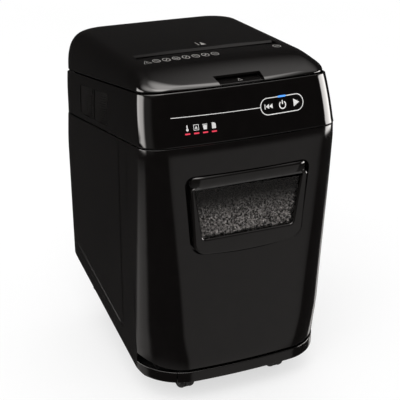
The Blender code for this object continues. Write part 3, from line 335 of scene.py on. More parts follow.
def applied(obj, sharp=35.0):
    """Keeps what the modifiers make as the object's own mesh."""
    bpy.context.view_layer.update()
    graph = bpy.context.evaluated_depsgraph_get()
    mesh = bpy.data.meshes.new_from_object(obj.evaluated_get(graph))
    obj.modifiers.clear()
    mesh.name = obj.name
    obj.data = mesh
    finish_shading(mesh, sharp)
    return obj


def combine(obj, others, operation, sharp=35.0, solver="EXACT"):
    for other in others:
        step = obj.modifiers.new("step", "BOOLEAN")
        step.operation = operation
        step.solver = solver
        step.object = other
    applied(obj, sharp)
    for other in others:
        bpy.data.objects.remove(other, do_unlink=True)
    return obj


def cut(obj, *others):
    return combine(obj, others, "DIFFERENCE")


def join(obj, *others):
    return combine(obj, others, "UNION")


def rounded(obj, width):
    bevel = obj.modifiers.new("rounding", "BEVEL")
    bevel.width = width
    bevel.segments = 3
    bevel.limit_method = "ANGLE"
    bevel.angle_limit = math.radians(40.0)
    bevel.use_clamp_overlap = True
    return applied(obj)


def block(name, low, high):
    bm = bmesh.new()
    bmesh.ops.create_cube(bm, size=1.0)
    low, high = Vector(low), Vector(high)
    bmesh.ops.scale(bm, vec=high - low, verts=bm.verts)
    bmesh.ops.translate(bm, vec=(low + high) / 2, verts=bm.verts)
    mesh = bpy.data.meshes.new(name)
    bm.to_mesh(mesh)
    bm.free()
    return add(name, mesh, None)


def frustum(name, low, high):
    """A cutter for the latch's pocket, open to the front. Low and high are (half width, rear y, height)."""
    points = []
    for half, rear, z in (low, high):
        points += [(-half, -0.2000, z), (half, -0.2000, z), (half, rear, z), (-half, rear, z)]
    faces = [(0, 3, 2, 1), (4, 5, 6, 7), (0, 1, 5, 4), (1, 2, 6, 5), (2, 3, 7, 6), (3, 0, 4, 7)]
    return add(name, mesh_from(name, points, faces), None)


def curve_mesh(name, curve):
    """The mesh that a curve evaluates to."""
    guide = bpy.data.objects.new(name, curve)
    bpy.context.scene.collection.objects.link(guide)
    bpy.context.view_layer.update()
    graph = bpy.context.evaluated_depsgraph_get()
    mesh = bpy.data.meshes.new_from_object(guide.evaluated_get(graph))
    bpy.data.objects.remove(guide, do_unlink=True)
    return mesh


def prism(name, outline, axis, low, high, look=None, holes=(), bevel=0.0):
    """A plate from a closed outline in the two other axes, from low to high along axis.

    A bevel rounds its edges, and holes are further outlines.
    """
    curve = bpy.data.curves.new(name, "CURVE")
    curve.dimensions = "2D"
    curve.fill_mode = "BOTH"
    curve.extrude = (high - low) / 2 - bevel
    curve.bevel_depth = bevel
    curve.bevel_resolution = 4 if bevel else 0
    curve.offset = -bevel
    for ring in (outline, *holes):
        spline = curve.splines.new("POLY")
        spline.points.add(len(ring) - 1)
        for point, (a, b) in zip(spline.points, ring):
            point.co = (a, b, 0.0, 1.0)
        spline.use_cyclic_u = True
    mesh = curve_mesh(name, curve)
    middle = (low + high) / 2
    if axis == "X":
        mesh.transform(Matrix(((0, 0, 1, middle), (1, 0, 0, 0), (0, 1, 0, 0), (0, 0, 0, 1))))
    elif axis == "Y":
        mesh.transform(Matrix(((1, 0, 0, 0), (0, 0, -1, middle), (0, 1, 0, 0), (0, 0, 0, 1))))
    else:
        mesh.transform(Matrix.Translation((0, 0, middle)))
    tidy(mesh, 0.000001)
    finish_shading(mesh)
    return add(name, mesh, look)


def lathe(name, profile, centre, axis, steps, look=None):
    """Turns (along, radius) points about an axis through centre."""
    points, faces = [], []
    for k in range(steps):
        turn = 2 * math.pi * k / steps
        for along, radius in profile:
            a, b = radius * math.cos(turn), radius * math.sin(turn)
            place = {"X": (along, a, b), "Y": (a, along, b), "Z": (a, b, along)}[axis]
            points.append(Vector(place) + Vector(centre))
    count = len(profile)
    for k in range(steps):
        for i in range(count - 1):
            first, second = k * count + i, ((k + 1) % steps) * count + i
            faces.append((first, second, second + 1, first + 1))
    return add(name, mesh_from(name, points, faces, 32.0, 0.0000015), look)


def rounded_outline(corners, radii, steps=8):
    """A closed outline with a round at each corner, taken anticlockwise."""
    points = []
    for i, radius in enumerate(radii):
        corner = Vector(corners[i])
        back = (Vector(corners[i - 1]) - corner).normalized()
        ahead = (Vector(corners[(i + 1) % len(corners)]) - corner).normalized()
        reach = radius / math.tan(back.angle(ahead) / 2)
        start, end = corner + back * reach, corner + ahead * reach
        centre = corner + (back + ahead).normalized() * math.hypot(radius, reach)
        for k in range(steps + 1):
            spoke = start.lerp(end, k / steps) - centre
            points.append(tuple(centre + spoke.normalized() * radius))
    return points


# ---------------------------------------------------------------- the cabinet's form

def smooth(low, high, value):
    t = min(1.0, max(0.0, (value - low) / (high - low)))
    return t * t * (3.0 - 2.0 * t)


def lid_seam(y):
    return LID_SEAM - LID_SLOPE * y


def head_seam(y):
    return HEAD_SEAM - HEAD_SLOPE * y


def skirt_bottom(y):
    rear_round = SKIRT_REAR_RISE * max(0.0, (y - SKIRT_REAR_Y) / (REAR - SKIRT_REAR_Y)) ** 2
    return PLINTH_BOTTOM + SKIRT_SLOPE * max(0.0, y - SKIRT_START_Y) + rear_round


def half_width(z):
    if z > SHOULDER_Z:
        return HALF_WIDTH - TOP_DRAFT * ((z - SHOULDER_Z) / SHOULDER_TO_TOP) ** 2
    return HALF_WIDTH - FOOT_DRAFT * ((SHOULDER_Z - z) / SHOULDER_TO_FOOT) ** 1.2


def front_y(z):
    if z > FASCIA_FOOT_Z:
        return FRONT + 0.0015 + FASCIA_LEAN * (z - FASCIA_FOOT_Z) / FASCIA_HEIGHT
    return FRONT + BIN_LEAN * ((FASCIA_FOOT_Z - z) / 0.362) ** 1.3


def front_radius(z):
    return 0.060 - 0.030 * smooth(0.06, 0.52, z) + FOOT_ROUNDING * (1.0 - smooth(0.05, 0.13, z))


def rear_radius(z):
    return REAR_RADIUS - REAR_SQUARING * (1.0 - smooth(0.33, 0.45, z))


class Section:
    """Half of the plan at one height: a path from the front's middle, round +X, to the rear's middle."""

    def __init__(self, width, front, rear, front_r, rear_r, bow):
        self.width, self.front, self.rear = width, front, rear
        self.front_r, self.rear_r, self.bow = front_r, rear_r, bow
        self.corner = width - front_r
        self.side = self.corner + front_r * math.pi / 2
        self.rear_corner = self.side + (rear - rear_r) - (front + front_r)
        self.back = self.rear_corner + rear_r * math.pi / 2
        self.end = self.back + width - rear_r

    def point(self, along):
        if along <= self.corner:
            x, y = along, self.front
        elif along <= self.side:
            turn = (along - self.corner) / self.front_r
            x = self.corner + self.front_r * math.sin(turn)
            y = self.front + self.front_r * (1 - math.cos(turn))
        elif along <= self.rear_corner:
            x, y = self.width, self.front + self.front_r + along - self.side
        elif along <= self.back:
            turn = (along - self.rear_corner) / self.rear_r
            x = self.width - self.rear_r * (1 - math.cos(turn))
            y = self.rear - self.rear_r * (1 - math.sin(turn))
        else:
            x, y = self.end - along, self.rear
        return x, y + self.bow * (x / self.width) ** 2 * (self.rear - y) / (self.rear - self.front)

    def reach(self, y):
        low, high = 0.0, self.back
        for _ in range(40):
            middle = (low + high) / 2
            low, high = (middle, high) if self.point(middle)[1] < y else (low, middle)
        return low


def spread(low, high, steps, with_low=True):
    return [low + (high - low) * i / steps for i in range(0 if with_low else 1, steps + 1)]


def stations_over(ends, steps):
    stations = [ends[0]]
    for low, high, count in zip(ends, ends[1:], steps):
        stations += spread(low, high, count, False)
    return stations


def all_round(section, steps):
    places = (0.0, section.corner, section.side, section.rear_corner, section.back, section.end)
    return stations_over(places, steps)


def cabinet_section(z):
    return Section(half_width(z), front_y(z), REAR, front_radius(z), rear_radius(z), FRONT_BOW)


def lifted(section, stations, z, height_at):
    row = []
    for along in stations:
        x, y = section.point(along)
        level = height_at(y)
        row.append((x * half_width(level) / half_width(z), y, level))
    return row


def both_sides(row):
    """The half row from the middle of the front, with its mirror image before it."""
    return [(-x, y, z) for x, y, z in reversed(row[1:])] + list(row)


def between(lower, upper, share):
    return lambda y: lower(y) + (upper(y) - lower(y)) * share


def shell(name, rows, wall, look, lip=LIP, cyclic=False, open_top=False):
    """A wall of even thickness behind a grid of outer points (rows go up), with rounded rims.

    With open_top, the last row closes on itself as a flat top, so it gets no rim.
    """
    grid = np.array(rows)
    if cyclic:
        along = np.roll(grid, -1, 1) - np.roll(grid, 1, 1)
    else:
        along = np.gradient(grid, axis=1)
    up = np.gradient(grid, axis=0)
    out = np.cross(along, up)
    out /= np.linalg.norm(out, axis=2, keepdims=True) + 1e-12
    if open_top:
        out[-1] = (0.0, 0.0, 1.0)
    up /= np.linalg.norm(up, axis=2, keepdims=True) + 1e-12
    low, high = grid[0], grid[-1]
    turns = spread(0.0, math.pi / 2, 4)
    loop = [low - out[0] * wall]
    loop += [low + up[0] * lip * (1 - math.cos(t)) - out[0] * lip * (1 - math.sin(t)) for t in turns]
    loop += list(grid[1:-1])
    if open_top:
        loop += [high, high - out[-1] * wall]
    else:
        loop += [high - up[-1] * lip * (1 - math.sin(t)) - out[-1] * lip * (1 - math.cos(t)) for t in turns]
        loop += [high - out[-1] * wall]
    loop += list((grid - out * wall)[1:-1][::-1])
    points = np.array(loop).transpose(1, 0, 2)
    columns, count = points.shape[:2]
    skip = len(loop) - (len(grid) - 2) - 2 if open_top else -1
    faces = []
    for j in range(columns if cyclic else columns - 1):
        ahead = (j + 1) % columns
        for i in range(count):
            if i != skip:
                k = (i + 1) % count
                faces.append((j * count + i, ahead * count + i, ahead * count + k, j * count + k))
    if not cyclic:
        faces.append(tuple(range(count)))
        faces.append(tuple(range((columns - 1) * count, columns * count))[::-1])
    return add(name, mesh_from(name, points.reshape(-1, 3), faces, 38.0, 0.0000015), look)


# ---------------------------------------------------------------- lid

def rear_gap(y):
    return smooth(0.165, 0.190, y)


def lid_rim(y):
    return lid_seam(y) + SEAM_GAP / 2 + 0.0035 * rear_gap(y)


def cover_rim(y):
    return lid_seam(y) - SEAM_GAP / 2 - 0.0015 * rear_gap(y)


def cover_foot(y):
    return head_seam(y) + SEAM_GAP * 0.8


def body_rim(y):
    return head_seam(y) - SEAM_GAP * 0.7


def fascia_end(z):
    return -0.166 + 0.27 * (z - FASCIA_FOOT_Z)


def lid_surface(x, y):
    dip = LID_DIP * (max(0.0, LID_DIP_START - y) / LID_DIP_LENGTH) ** 1.5
    return LID_TOP - dip + LID_CROWN * (1.0 - (x / HALF_WIDTH) ** 2) * (1.0 - (y / REAR) ** 2)


def lid_row(turn):
    rise = math.sin(turn) ** 0.80
    tuck = 1.0 - max(0.0, math.cos(turn)) ** 0.80
    front_z = lid_rim(FRONT)
    width = half_width(front_z) - LID_SIDE_STEP - LID_SIDE_TUCK * tuck
    front = front_y(front_z) + LID_FRONT_STEP + LID_FRONT_TUCK * tuck
    section = Section(width, front, REAR - LID_REAR_TUCK * tuck, 0.032 + 0.010 * tuck,
                      REAR_RADIUS + 0.006 * tuck, FRONT_BOW * (1.0 - 0.3 * tuck))
    row = []
    for x, y in map(section.point, all_round(section, (22, 14, 20, 12, 8))):
        rim = lid_rim(y)
        side = x * (half_width(rim) - LID_SIDE_STEP - LID_SIDE_TUCK * tuck) / width
        row.append((side, y, rim + (lid_surface(x, y) - rim) * rise))
    return row


def lid_shell(name, look):
    rows = [both_sides(lid_row(math.radians(90) * i / 16))[1:] for i in range(17)]
    for share in (0.05, 0.1, 0.15, 0.2, 0.25, 0.3, 0.36, 0.43, 0.52, 0.64, 0.8, 1.0):
        row = []
        for x, y, _ in rows[16]:
            middle = min(0.08, max(SLOT_Y, y))
            place = (x * (1 - share), y * (1 - share) + middle * share)
            row.append((*place, lid_surface(*place)))
        rows.append(row)
    return shell(name, rows, WALL, look, 0.0009, cyclic=True, open_top=True)


def make_lid(looks):
    lid = lid_shell("lid_shell", looks["gloss_black"])
    top = LID_TOP + LID_CROWN
    floor, skin = top - TROUGH_DEPTH, 0.0012
    tub = prism("slot_tub", [(TROUGH_FRONT - 0.001, top - skin), (TROUGH_FRONT - 0.001, floor - skin),
                             (SLOT_Y + 0.0062, floor - skin), (TROUGH_REAR + 0.002, top - skin)],
                "X", -0.1200, 0.1200)
    trough = prism("slot_trough", [(TROUGH_FRONT, top + 0.01), (TROUGH_FRONT, top - 0.001),
                                   (TROUGH_FRONT + 0.0012, floor), (SLOT_Y + 0.0046, floor),
                                   (TROUGH_REAR, top - 0.0003), (TROUGH_REAR, top + 0.01)],
                   "X", -TROUGH_HALF, TROUGH_HALF)
    slot = block("slot", (-SLOT_HALF, SLOT_FRONT, 0.50), (SLOT_HALF, SLOT_REAR, 0.56))
    pocket = frustum("pocket", (LATCH_HALF + 0.0006, -0.1546, 0.5131), (LATCH_HALF + 0.0066, -0.1506, 0.5325))
    arms = []
    for i, x in enumerate((-0.078, 0.078)):
        low, high = x - 0.004, x + 0.004
        arms.append(block(f"arm_{i}", (low, 0.1895, 0.4690), (high, 0.2018, 0.4850)))
        eye = [(low, 0.0), (low, 0.0052), (high, 0.0052), (high, 0.0)]
        arms.append(lathe(f"eye_{i}", eye, (0, 0.1935, 0.4665), "X", 24))
        low, high = 1.2372 * x - 0.002, 1.2372 * x + 0.002
        arms.append(block(f"hanger_{i}", (low, 0.092, 0.493), (high, 0.108, LID_TOP - 0.001)))
    join(lid, tub, *arms)
    ribs = [block(f"rib_{i}", (x - 0.0009, -0.020, LID_TOP - 0.0060), (x + 0.0009, 0.170, LID_TOP - 0.0010))
            for i, x in enumerate((-0.06, -0.02, 0.02, 0.06))]
    join(lid, *ribs)
    combine(lid, [trough, slot, pocket], "DIFFERENCE", 30.0, "MANIFOLD")
    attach(lid, "lid")
    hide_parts("lid")

    rows = []
    for y in spread(LATCH_FRONT, LATCH_REAR, 8):
        rows.append([(x, y, lid_surface(x, y) - latch_sink(y)) for x in spread(-LATCH_HALF, LATCH_HALF, 24)])
    latch = slab("lid_latch_cap", rows, 0.0024, looks["gloss_black"])
    rounded(latch, 0.0006)
    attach(latch, "latch")
    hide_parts("lid_latch")


def latch_sink(y):
    """How far the latch plate lies below the lid's surface: more at its rear edge."""
    return 0.0010 + 0.0036 * (y - LATCH_FRONT) / (LATCH_REAR - LATCH_FRONT)


def slab(name, rows, thick, look):
    """A closed plate below a grid of points, with a flat edge all round."""
    across, deep = len(rows[0]), len(rows)
    top = [point for row in rows for point in row]
    points = top + [(x, y, z - thick) for x, y, z in top]
    count = len(top)
    faces = []
    for i in range(deep - 1):
        for a in range(i * across, i * across + across - 1):
            quad = (a, a + 1, a + across + 1, a + across)
            faces += [quad, tuple(count + b for b in reversed(quad))]
    edge = list(range(across)) + [i * across + across - 1 for i in range(1, deep)]
    edge += [(deep - 1) * across + j for j in range(across - 2, -1, -1)]
    edge += [i * across for i in range(deep - 2, 0, -1)]
    faces += [(a, count + a, count + b, b) for a, b in zip(edge, edge[1:] + edge[:1])]
    return add(name, mesh_from(name, points, faces, 35.0), look)


# ---------------------------------------------------------------- printed marks

def on_fascia(x, z, out):
    """A point on the control panel's face, moved outwards. The panel's rows slope with the two seams."""
    y = -0.195
    for _ in range(4):
        share = (z - cover_foot(y)) / (cover_rim(y) - cover_foot(y))
        level = between(cover_foot, cover_rim, share)(PANEL_MIDDLE_Y)
        y = front_y(level) + FRONT_BOW * (x / half_width(z)) ** 2
    lean = math.atan(FASCIA_LEAN / FASCIA_HEIGHT)
    return (x, y - out * math.cos(lean), z + out * math.sin(lean))


def on_lid(x, y, out):
    return (x, y, lid_surface(x, y) + out)


def ribbon(points, width, closed=False):
    """The outline pairs of a stroke along points."""
    pairs = []
    count = len(points)
    for i in range(count):
        if closed:
            before, after = points[i - 1], points[(i + 1) % count]
        else:
            before, after = points[max(i - 1, 0)], points[min(i + 1, count - 1)]
        heading = Vector(after) - Vector(before)
        side = Vector((-heading.y, heading.x)).normalized() * width / 2
        pairs.append((Vector(points[i]) + side, Vector(points[i]) - side))
    return pairs


class Print:
    """Collects strokes and filled shapes in one thin raised mesh on a curved face."""

    def __init__(self, place, low=-0.00005, high=0.00010):
        self.place, self.low, self.high = place, low, high
        self.points, self.faces = [], []

    def stroke(self, points, width, closed=False):
        pairs = ribbon(points, width, closed)
        self.faces += bridge(len(self.points), len(pairs), 4, closed)
        for left, right in pairs:
            for spot, out in ((left, self.low), (right, self.low), (right, self.high), (left, self.high)):
                self.points.append(self.place(spot[0], spot[1], out))

    def fill(self, points):
        self.faces += bridge(len(self.points), 2, len(points))
        for out in (self.low, self.high):
            self.points += [self.place(a, b, out) for a, b in points]

    def done(self, name, look, body):
        return add(name, mesh_from(name, self.points, self.faces, 30.0), look, body)


def arc(centre, radius, start, end, steps=16):
    turns = [math.radians(turn) for turn in spread(start, end, steps)]
    return [(centre[0] + radius * math.cos(turn), centre[1] + radius * math.sin(turn)) for turn in turns]


def line(first, last, steps=10, ends=False):
    """Evenly spaced points from first to last, without the two ends unless asked."""
    points = list(zip(spread(first[0], last[0], steps), spread(first[1], last[1], steps)))
    return points if ends else points[1:-1]


def make_panel_marks(looks):
    marks = Print(on_fascia)
    margin = 0.0011
    low_z, high_z = KEY_Z[0] - margin, KEY_Z[1] + margin
    middle, radius = (low_z + high_z) / 2, (high_z - low_z) / 2
    left, right = CAPSULE[0] - margin, CAPSULE[1] + margin
    ring = arc((right - radius, middle), radius, -90, 90)
    ring += line((right - radius, high_z), (left + radius, high_z))
    ring += arc((left + radius, middle), radius, 90, 270)
    ring += line((left + radius, low_z), (right - radius, low_z))
    marks.stroke(ring, 0.0012, True)
    marks.stroke(line((-0.1180, middle), (left, middle), 24, True), 0.0009)
    for pictogram, x in zip((thermometer, open_bin, waste_bin, sheets), STATUS_X):
        pictogram(marks, x, 0.4612)
    marks.done("panel_print", looks["white_print"], "cabinet")

    icon = Print(on_fascia)
    x, half = 0.0355, 0.00357
    icon.stroke([(x - 0.0064, middle - half), (x - 0.0064, middle + half)], 0.0014)
    for start in (x - 0.0052, x + 0.0006):
        icon.fill([(start, middle), (start + 0.0056, middle - half), (start + 0.0056, middle + half)])
    icon.done("reverse_icon", looks["white_print"], "reverse_key")
    icon = Print(on_fascia)
    x = 0.0588
    icon.stroke(arc((x, middle - 0.0006), 0.0052, 125, 415, 28), 0.0017)
    icon.stroke([(x, middle + 0.0004), (x, middle + 0.0062)], 0.0017)
    icon.done("power_icon", looks["white_print"], "power_key")
    icon = Print(on_fascia)
    x = 0.0818
    icon.fill([(x - 0.0040, middle - 0.0055), (x + 0.0060, middle), (x - 0.0040, middle + 0.0055)])
    icon.done("forward_icon", looks["white_print"], "forward_key")

    light = Print(on_fascia, -0.0015, 0.0003)
    light.fill(rounded_outline(box_corners(0.0520, high_z - 0.0013, 0.0654, high_z + 0.0013), (0.0010,) * 4, 4))
    bar = light.done("power_light_bar", looks["power_light"], "cabinet")
    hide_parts("power_light")


def box_corners(left, foot, right, top):
    return [(left, foot), (right, foot), (right, top), (left, top)]


def thermometer(marks, x, z):
    marks.stroke([(x, z - 0.0010), (x, z + 0.0040)], 0.0016)
    marks.fill(arc((x, z - 0.0024), 0.0019, 0, 337.5, 15))


def open_bin(marks, x, z):
    marks.stroke(box_corners(x - 0.0036, z - 0.0036, x + 0.0036, z + 0.0036), 0.0010, True)
    marks.fill([(x - 0.0020, z - 0.0018), (x + 0.0020, z - 0.0018), (x, z + 0.0020)])


def waste_bin(marks, x, z):
    marks.fill([(x - 0.0024, z - 0.0040), (x + 0.0024, z - 0.0040),
                (x + 0.0032, z + 0.0018), (x - 0.0032, z + 0.0018)])
    marks.stroke([(x - 0.0036, z + 0.0030), (x + 0.0036, z + 0.0030)], 0.0010)


def sheets(marks, x, z):
    marks.fill([(x - 0.0030, z - 0.0040), (x + 0.0030, z - 0.0040),
                (x + 0.0030, z + 0.0022), (x + 0.0008, z + 0.0042),
                (x - 0.0030, z + 0.0042)])


def make_lid_marks(looks):
    marks = Print(on_lid)
    weight = 0.0011
    y = SLOT_Y - 0.0340
    for i in range(8):
        x = -0.1120 + 0.0160 * i
        if i == 0:
            marks.stroke([(x - 0.0058, y - 0.0072), (x + 0.0058, y - 0.0072), (x, y + 0.0078)], weight, True)
            marks.stroke([(x, y - 0.0040), (x, y + 0.0020)], weight)
            continue
        marks.stroke(oval((x, y), 0.0054, 1.5), weight, True)
        slant = (-1) ** i * 0.0022
        marks.stroke([(x - slant, y - 0.0042), (x + slant, y + 0.0042)], weight)
        if i % 3 == 0:
            marks.stroke([(x - 0.0028, y), (x + 0.0028, y)], weight)
    foot, tip = SLOT_Y + 0.0230, SLOT_Y + 0.0400
    marks.stroke([(-0.001, foot), (-0.001, tip)], 0.0013)
    marks.fill([(0.0030, foot), (0.0110, foot), (0.0070, tip)])
    x, y = 0.1100, SLOT_Y - 0.0270
    marks.stroke(oval((x, y), 0.0060, 1.2), weight, True)
    marks.stroke([(x - 0.0032, y), (x + 0.0032, y)], 0.0020)
    marks.done("lid_print", looks["grey_print"], "lid")

    arrow = Print(lambda x, y, out: (x, y, lid_surface(x, y) - latch_sink(y) + out))
    arrow.stroke([(-0.0032, -0.1672), (0.0032, -0.1672), (0.0, -0.1600)], 0.0012, True)
    arrow.done("latch_print", looks["grey_print"], "latch")


def oval(centre, radius, stretch):
    """A ring of 24 points that is stretched along Y."""
    return [(a, centre[1] + stretch * (b - centre[1])) for a, b in arc(centre, radius, 0, 345, 23)]


# ---------------------------------------------------------------- head

# The two vent holes in each side of the head, as (y, z) corners, and a slat's section as (depth, height)
VENT_HOLES = (((-0.028, 0.4238), (0.0350, 0.4161), (0.0350, 0.4659), (-0.028, 0.4750)),
              ((0.0410, 0.4154), (0.104, 0.4078), (0.104, 0.4560), (0.0410, 0.4650)))
SLATS = 15
SLAT_SECTION = ((0.0, 0.0), (-0.0022, 0.0019), (-0.0022, 0.0009), (0.0, -0.0010))


def make_head_cover(looks):
    rows = []
    for share in spread(0.0, 1.0, 8):
        height_at = between(cover_foot, cover_rim, share)
        z = height_at(PANEL_MIDDLE_Y)
        section = cabinet_section(z)
        start = section.reach(fascia_end(z) + 2 * GAP)
        side = max(section.side, start + 0.006)
        stations = stations_over((start, side, section.rear_corner, section.back, section.end), (8, 16, 12, 8))
        row = lifted(section, stations, z, height_at)
        rows.append(row + [(-x, y, z) for x, y, z in reversed(row[:-1])])
    cover = shell("head_cover_shell", rows, WALL, looks["gloss_black"])
    cutters = [prism(f"vent_cut_{side}_{k}", rounded_outline(hole, (0.0015,) * 4, 3), "X",
                     side * 0.158 - 0.015, side * 0.158 + 0.015)
               for side in (-1, 1) for k, hole in enumerate(VENT_HOLES)]
    cut(cover, *cutters)
    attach(cover, "cabinet")
    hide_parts("head_cover")


def make_vents(looks):
    """Fine louvres that sag in the middle, behind the holes in the head's sides, on a back plate."""
    for side, sign in (("left", -1), ("right", 1)):
        points, faces = [], []
        for (y0, z0), (y1, z1), (_, z2), (_, z3) in VENT_HOLES:
            for k in range(SLATS):
                faces += bridge(len(points), 9, 4)
                for t in spread(-0.02, 1.02, 8):
                    low, high = z0 + (z1 - z0) * t - 0.003, z3 + (z2 - z3) * t + 0.004
                    z = low + (high - low) * (k + 0.5) / SLATS - 0.0036 * (1 - (2 * t - 1) ** 2)
                    face = half_width(z) - 0.0009
                    points += [(sign * (face + depth), y0 + (y1 - y0) * t, z + lift)
                               for depth, lift in SLAT_SECTION]
        slats = add(f"vent_louvres_{side}", mesh_from("vent", points, faces, 30.0), looks["vent_black"])
        foot, top = ([(y, z - slope * y) for y in (-0.0275, 0.1035)]
                     for z, slope in ((0.4210, 0.1212), (0.4710, 0.1439)))
        back = prism("vent_back", foot + top[::-1], "X", *sorted((sign * 0.1545, sign * 0.1553)))
        keep = prism("vent_keep", [(-0.029, 0.4230), (0.105, 0.4068), (0.105, 0.4568), (-0.029, 0.4762)],
                     "X", *sorted((sign * 0.14, sign * 0.17)))
        combine(slats, [keep], "INTERSECT")
        join(slats, back)
        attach(slats, "cabinet")
        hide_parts(f"vent_grille_{side}")


def fascia_shell(name, look):
    rows = []
    for share in spread(0.0, 1.0, 10):
        height_at = between(cover_foot, cover_rim, share)
        z = height_at(PANEL_MIDDLE_Y)
        section = cabinet_section(z)
        stations = stations_over((0.0, section.corner, section.reach(fascia_end(z))), (26, 18))
        rows.append(both_sides(lifted(section, stations, z, height_at)))
    return shell(name, rows, PANEL_WALL, look, PANEL_LIP)


def key_outline(low_x, high_x, margin):
    """A third of the capsule: its outer end is round where the capsule ends."""
    low_z, high_z = KEY_Z[0] - margin, KEY_Z[1] + margin
    radius, middle = (high_z - low_z) / 2, (KEY_Z[0] + KEY_Z[1]) / 2
    first, last = low_x - margin, high_x + margin
    if low_x == CAPSULE[0]:
        points = arc((first + radius, middle), radius, 90, 270, 20)
    else:
        points = [(first, high_z), (first, low_z)]
    if high_x == CAPSULE[1]:
        return points + arc((last - radius, middle), radius, -90, 90, 20)
    return points + [(last, low_z), (last, high_z)]


def make_fascia(looks):
    fascia = fascia_shell("control_panel", looks["gloss_black"])
    play = 0.00045
    holes = [prism(f"{name}_hole", key_outline(*span, play), "Y", -0.23, -0.17)
             for name, span in KEY_SPANS.items()]
    lamps = [block(f"lamp_hole_{i}", (x - 0.0041, -0.21, 0.4517), (x + 0.0041, -0.17, 0.4541))
             for i, x in enumerate(STATUS_X)]
    cut(fascia, *holes, *lamps)
    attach(fascia, "cabinet")
    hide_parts("control_fascia")
    for name, span in KEY_SPANS.items():
        key = fascia_shell(f"{name}_cap", looks["gloss_black"])
        combine(key, [prism("keep", key_outline(*span, 0.0), "Y", -0.23, -0.17)], "INTERSECT")
        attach(key, name)
        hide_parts(f"key_{name[:-4]}")


# ---------------------------------------------------------------- bin front, window and side panels

def bin_edge_y(z):
    upper = -0.1150 + 0.126 * (0.427 - z)
    share = smooth(0.281, 0.309, z)
    return BIN_EDGE_Y * (1 - share) + upper * share


def bin_foot(y):
    return BIN_BOTTOM + BIN_FOOT_RISE * smooth(-0.190, -0.130, y)


LEVELS = tuple(spread(0.0, 0.56, 10)) + tuple(spread(0.575, 0.66, 8)) + tuple(spread(0.70, 1.0, 6))


def window_outline(margin):
    corners = [(-0.0930 - margin, 0.2650 - margin), (0.0930 + margin, 0.2650 - margin),
               (0.1040 + margin, WINDOW_TOP_Z + margin), (-0.1040 - margin, WINDOW_TOP_Z + margin)]
    return bowed_foot(with_foot_points(rounded_outline(corners, (0.020, 0.020, 0.014, 0.014))), 0.008)


def with_foot_points(points):
    made = []
    for i, (x, z) in enumerate(points):
        made.append((x, z))
        next_x, next_z = points[(i + 1) % len(points)]
        if abs(next_x - x) > 0.10 and z < 0.33:
            made += [(x + (next_x - x) * k / 24, z + (next_z - z) * k / 24) for k in range(1, 24)]
    return made


def bowed_foot(points, depth):
    half = max(abs(x) for x, _ in points)
    return [(x, z - depth * (1 - (x / half) ** 2) if z < 0.33 else z) for x, z in points]


def glass_outline(margin):
    foot, top = GLASS_FOOT_HALF + margin, GLASS_TOP_HALF + margin
    corners = [(-foot, GLASS_FOOT_Z - margin), (foot, GLASS_FOOT_Z - margin),
               (top, GLASS_TOP_Z + margin), (-top, GLASS_TOP_Z + margin)]
    return rounded_outline(corners, (0.006,) * 4, 5)


def make_bin_front(looks):
    rows = []
    for share in LEVELS:
        height_at = between(bin_foot, body_rim, share)
        z = height_at(FRONT + 0.02)
        section = cabinet_section(z)
        stop = section.reach(bin_edge_y(height_at(BIN_EDGE_Y)) - EDGE_GAP)
        stations = stations_over((0.0, section.corner, stop), (18, 22))
        rows.append(both_sides(lifted(section, stations, z, height_at)))
    front = shell("bin_front_shell", rows, WALL, looks["satin_black"])
    tub = prism("pocket_tub", window_outline(0.0032), "Y", -0.1945, POCKET_FLOOR_Y + 0.0028)
    join(front, tub)
    pocket = prism("pocket", window_outline(0.0), "Y", -0.23, POCKET_FLOOR_Y)
    opening = prism("pocket_opening", glass_outline(0.0010), "Y", -0.21, -0.17)
    cut(front, pocket, opening)
    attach(front, "bin")
    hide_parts("bin_front")


def make_window(looks):
    corners = [(-0.0885, 0.2655), (0.0915, 0.2655), (0.0990, 0.3712), (-0.0945, 0.3712)]
    outer = bowed_foot(with_foot_points(rounded_outline(corners, (0.018, 0.018, 0.006, 0.006))), 0.0075)
    window = prism("window_surround", outer, "Y", FRAME_FRONT_Y, FRAME_BACK_Y, looks["trim_black"],
                   [glass_outline(0.0)[::-1]], 0.0030)
    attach(window, "bin")
    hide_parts("window_frame")
    bar = handle_bar(looks["trim_black"])
    foot = block("handle_foot", (-0.0860, -0.1930, 0.3750), (0.0860, POCKET_FLOOR_Y - 0.0003, 0.3850))
    join(bar, foot)
    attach(bar, "bin")
    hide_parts("bin_handle")


def handle_bar(look):
    """The pull bar: a round-topped section swept across, with its ends curved back and down."""
    left, right, foot, top, front = -0.0933, 0.0965, 0.3713, 0.3872, -0.2038
    points = []
    stations = [left + (right - left) * (1 - math.cos(math.pi * t)) / 2 for t in spread(0.0, 1.0, 60)]
    for x in stations:
        near = min(x - left, right - x)
        face = front + 0.0085 * end_fall(near / 0.021)
        high = top - 0.0050 * end_fall(near / 0.005)
        radius = min(0.0040, (FRAME_BACK_Y - face) * 0.6, (high - foot) * 0.6)
        ring = [(FRAME_BACK_Y, foot), (face + 0.0004, foot), (face, foot + 0.0006)]
        ring += [(face + radius * (1 - math.cos(a)), high - radius * (1 - math.sin(a)))
                 for a in spread(0.0, math.pi / 2, 6)]
        ring.append((FRAME_BACK_Y, high))
        points += [(x, y, z) for y, z in ring]
    faces = bridge(0, len(stations), len(ring))
    return add("handle_bar", mesh_from("handle_bar", points, faces, 40.0), look)


def end_fall(share):
    """A quarter round: 1 at an end, and 0 from a share of 1 on."""
    return 1 - math.sqrt(max(0.0, 1 - max(0.0, 1 - share) ** 2))


def make_lens(looks):
    lens = prism("window_pane", glass_outline(-0.0003), "Y", -0.1985, -0.1965, looks["smoked_window"])
    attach(lens, "bin")
    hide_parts("window_lens")


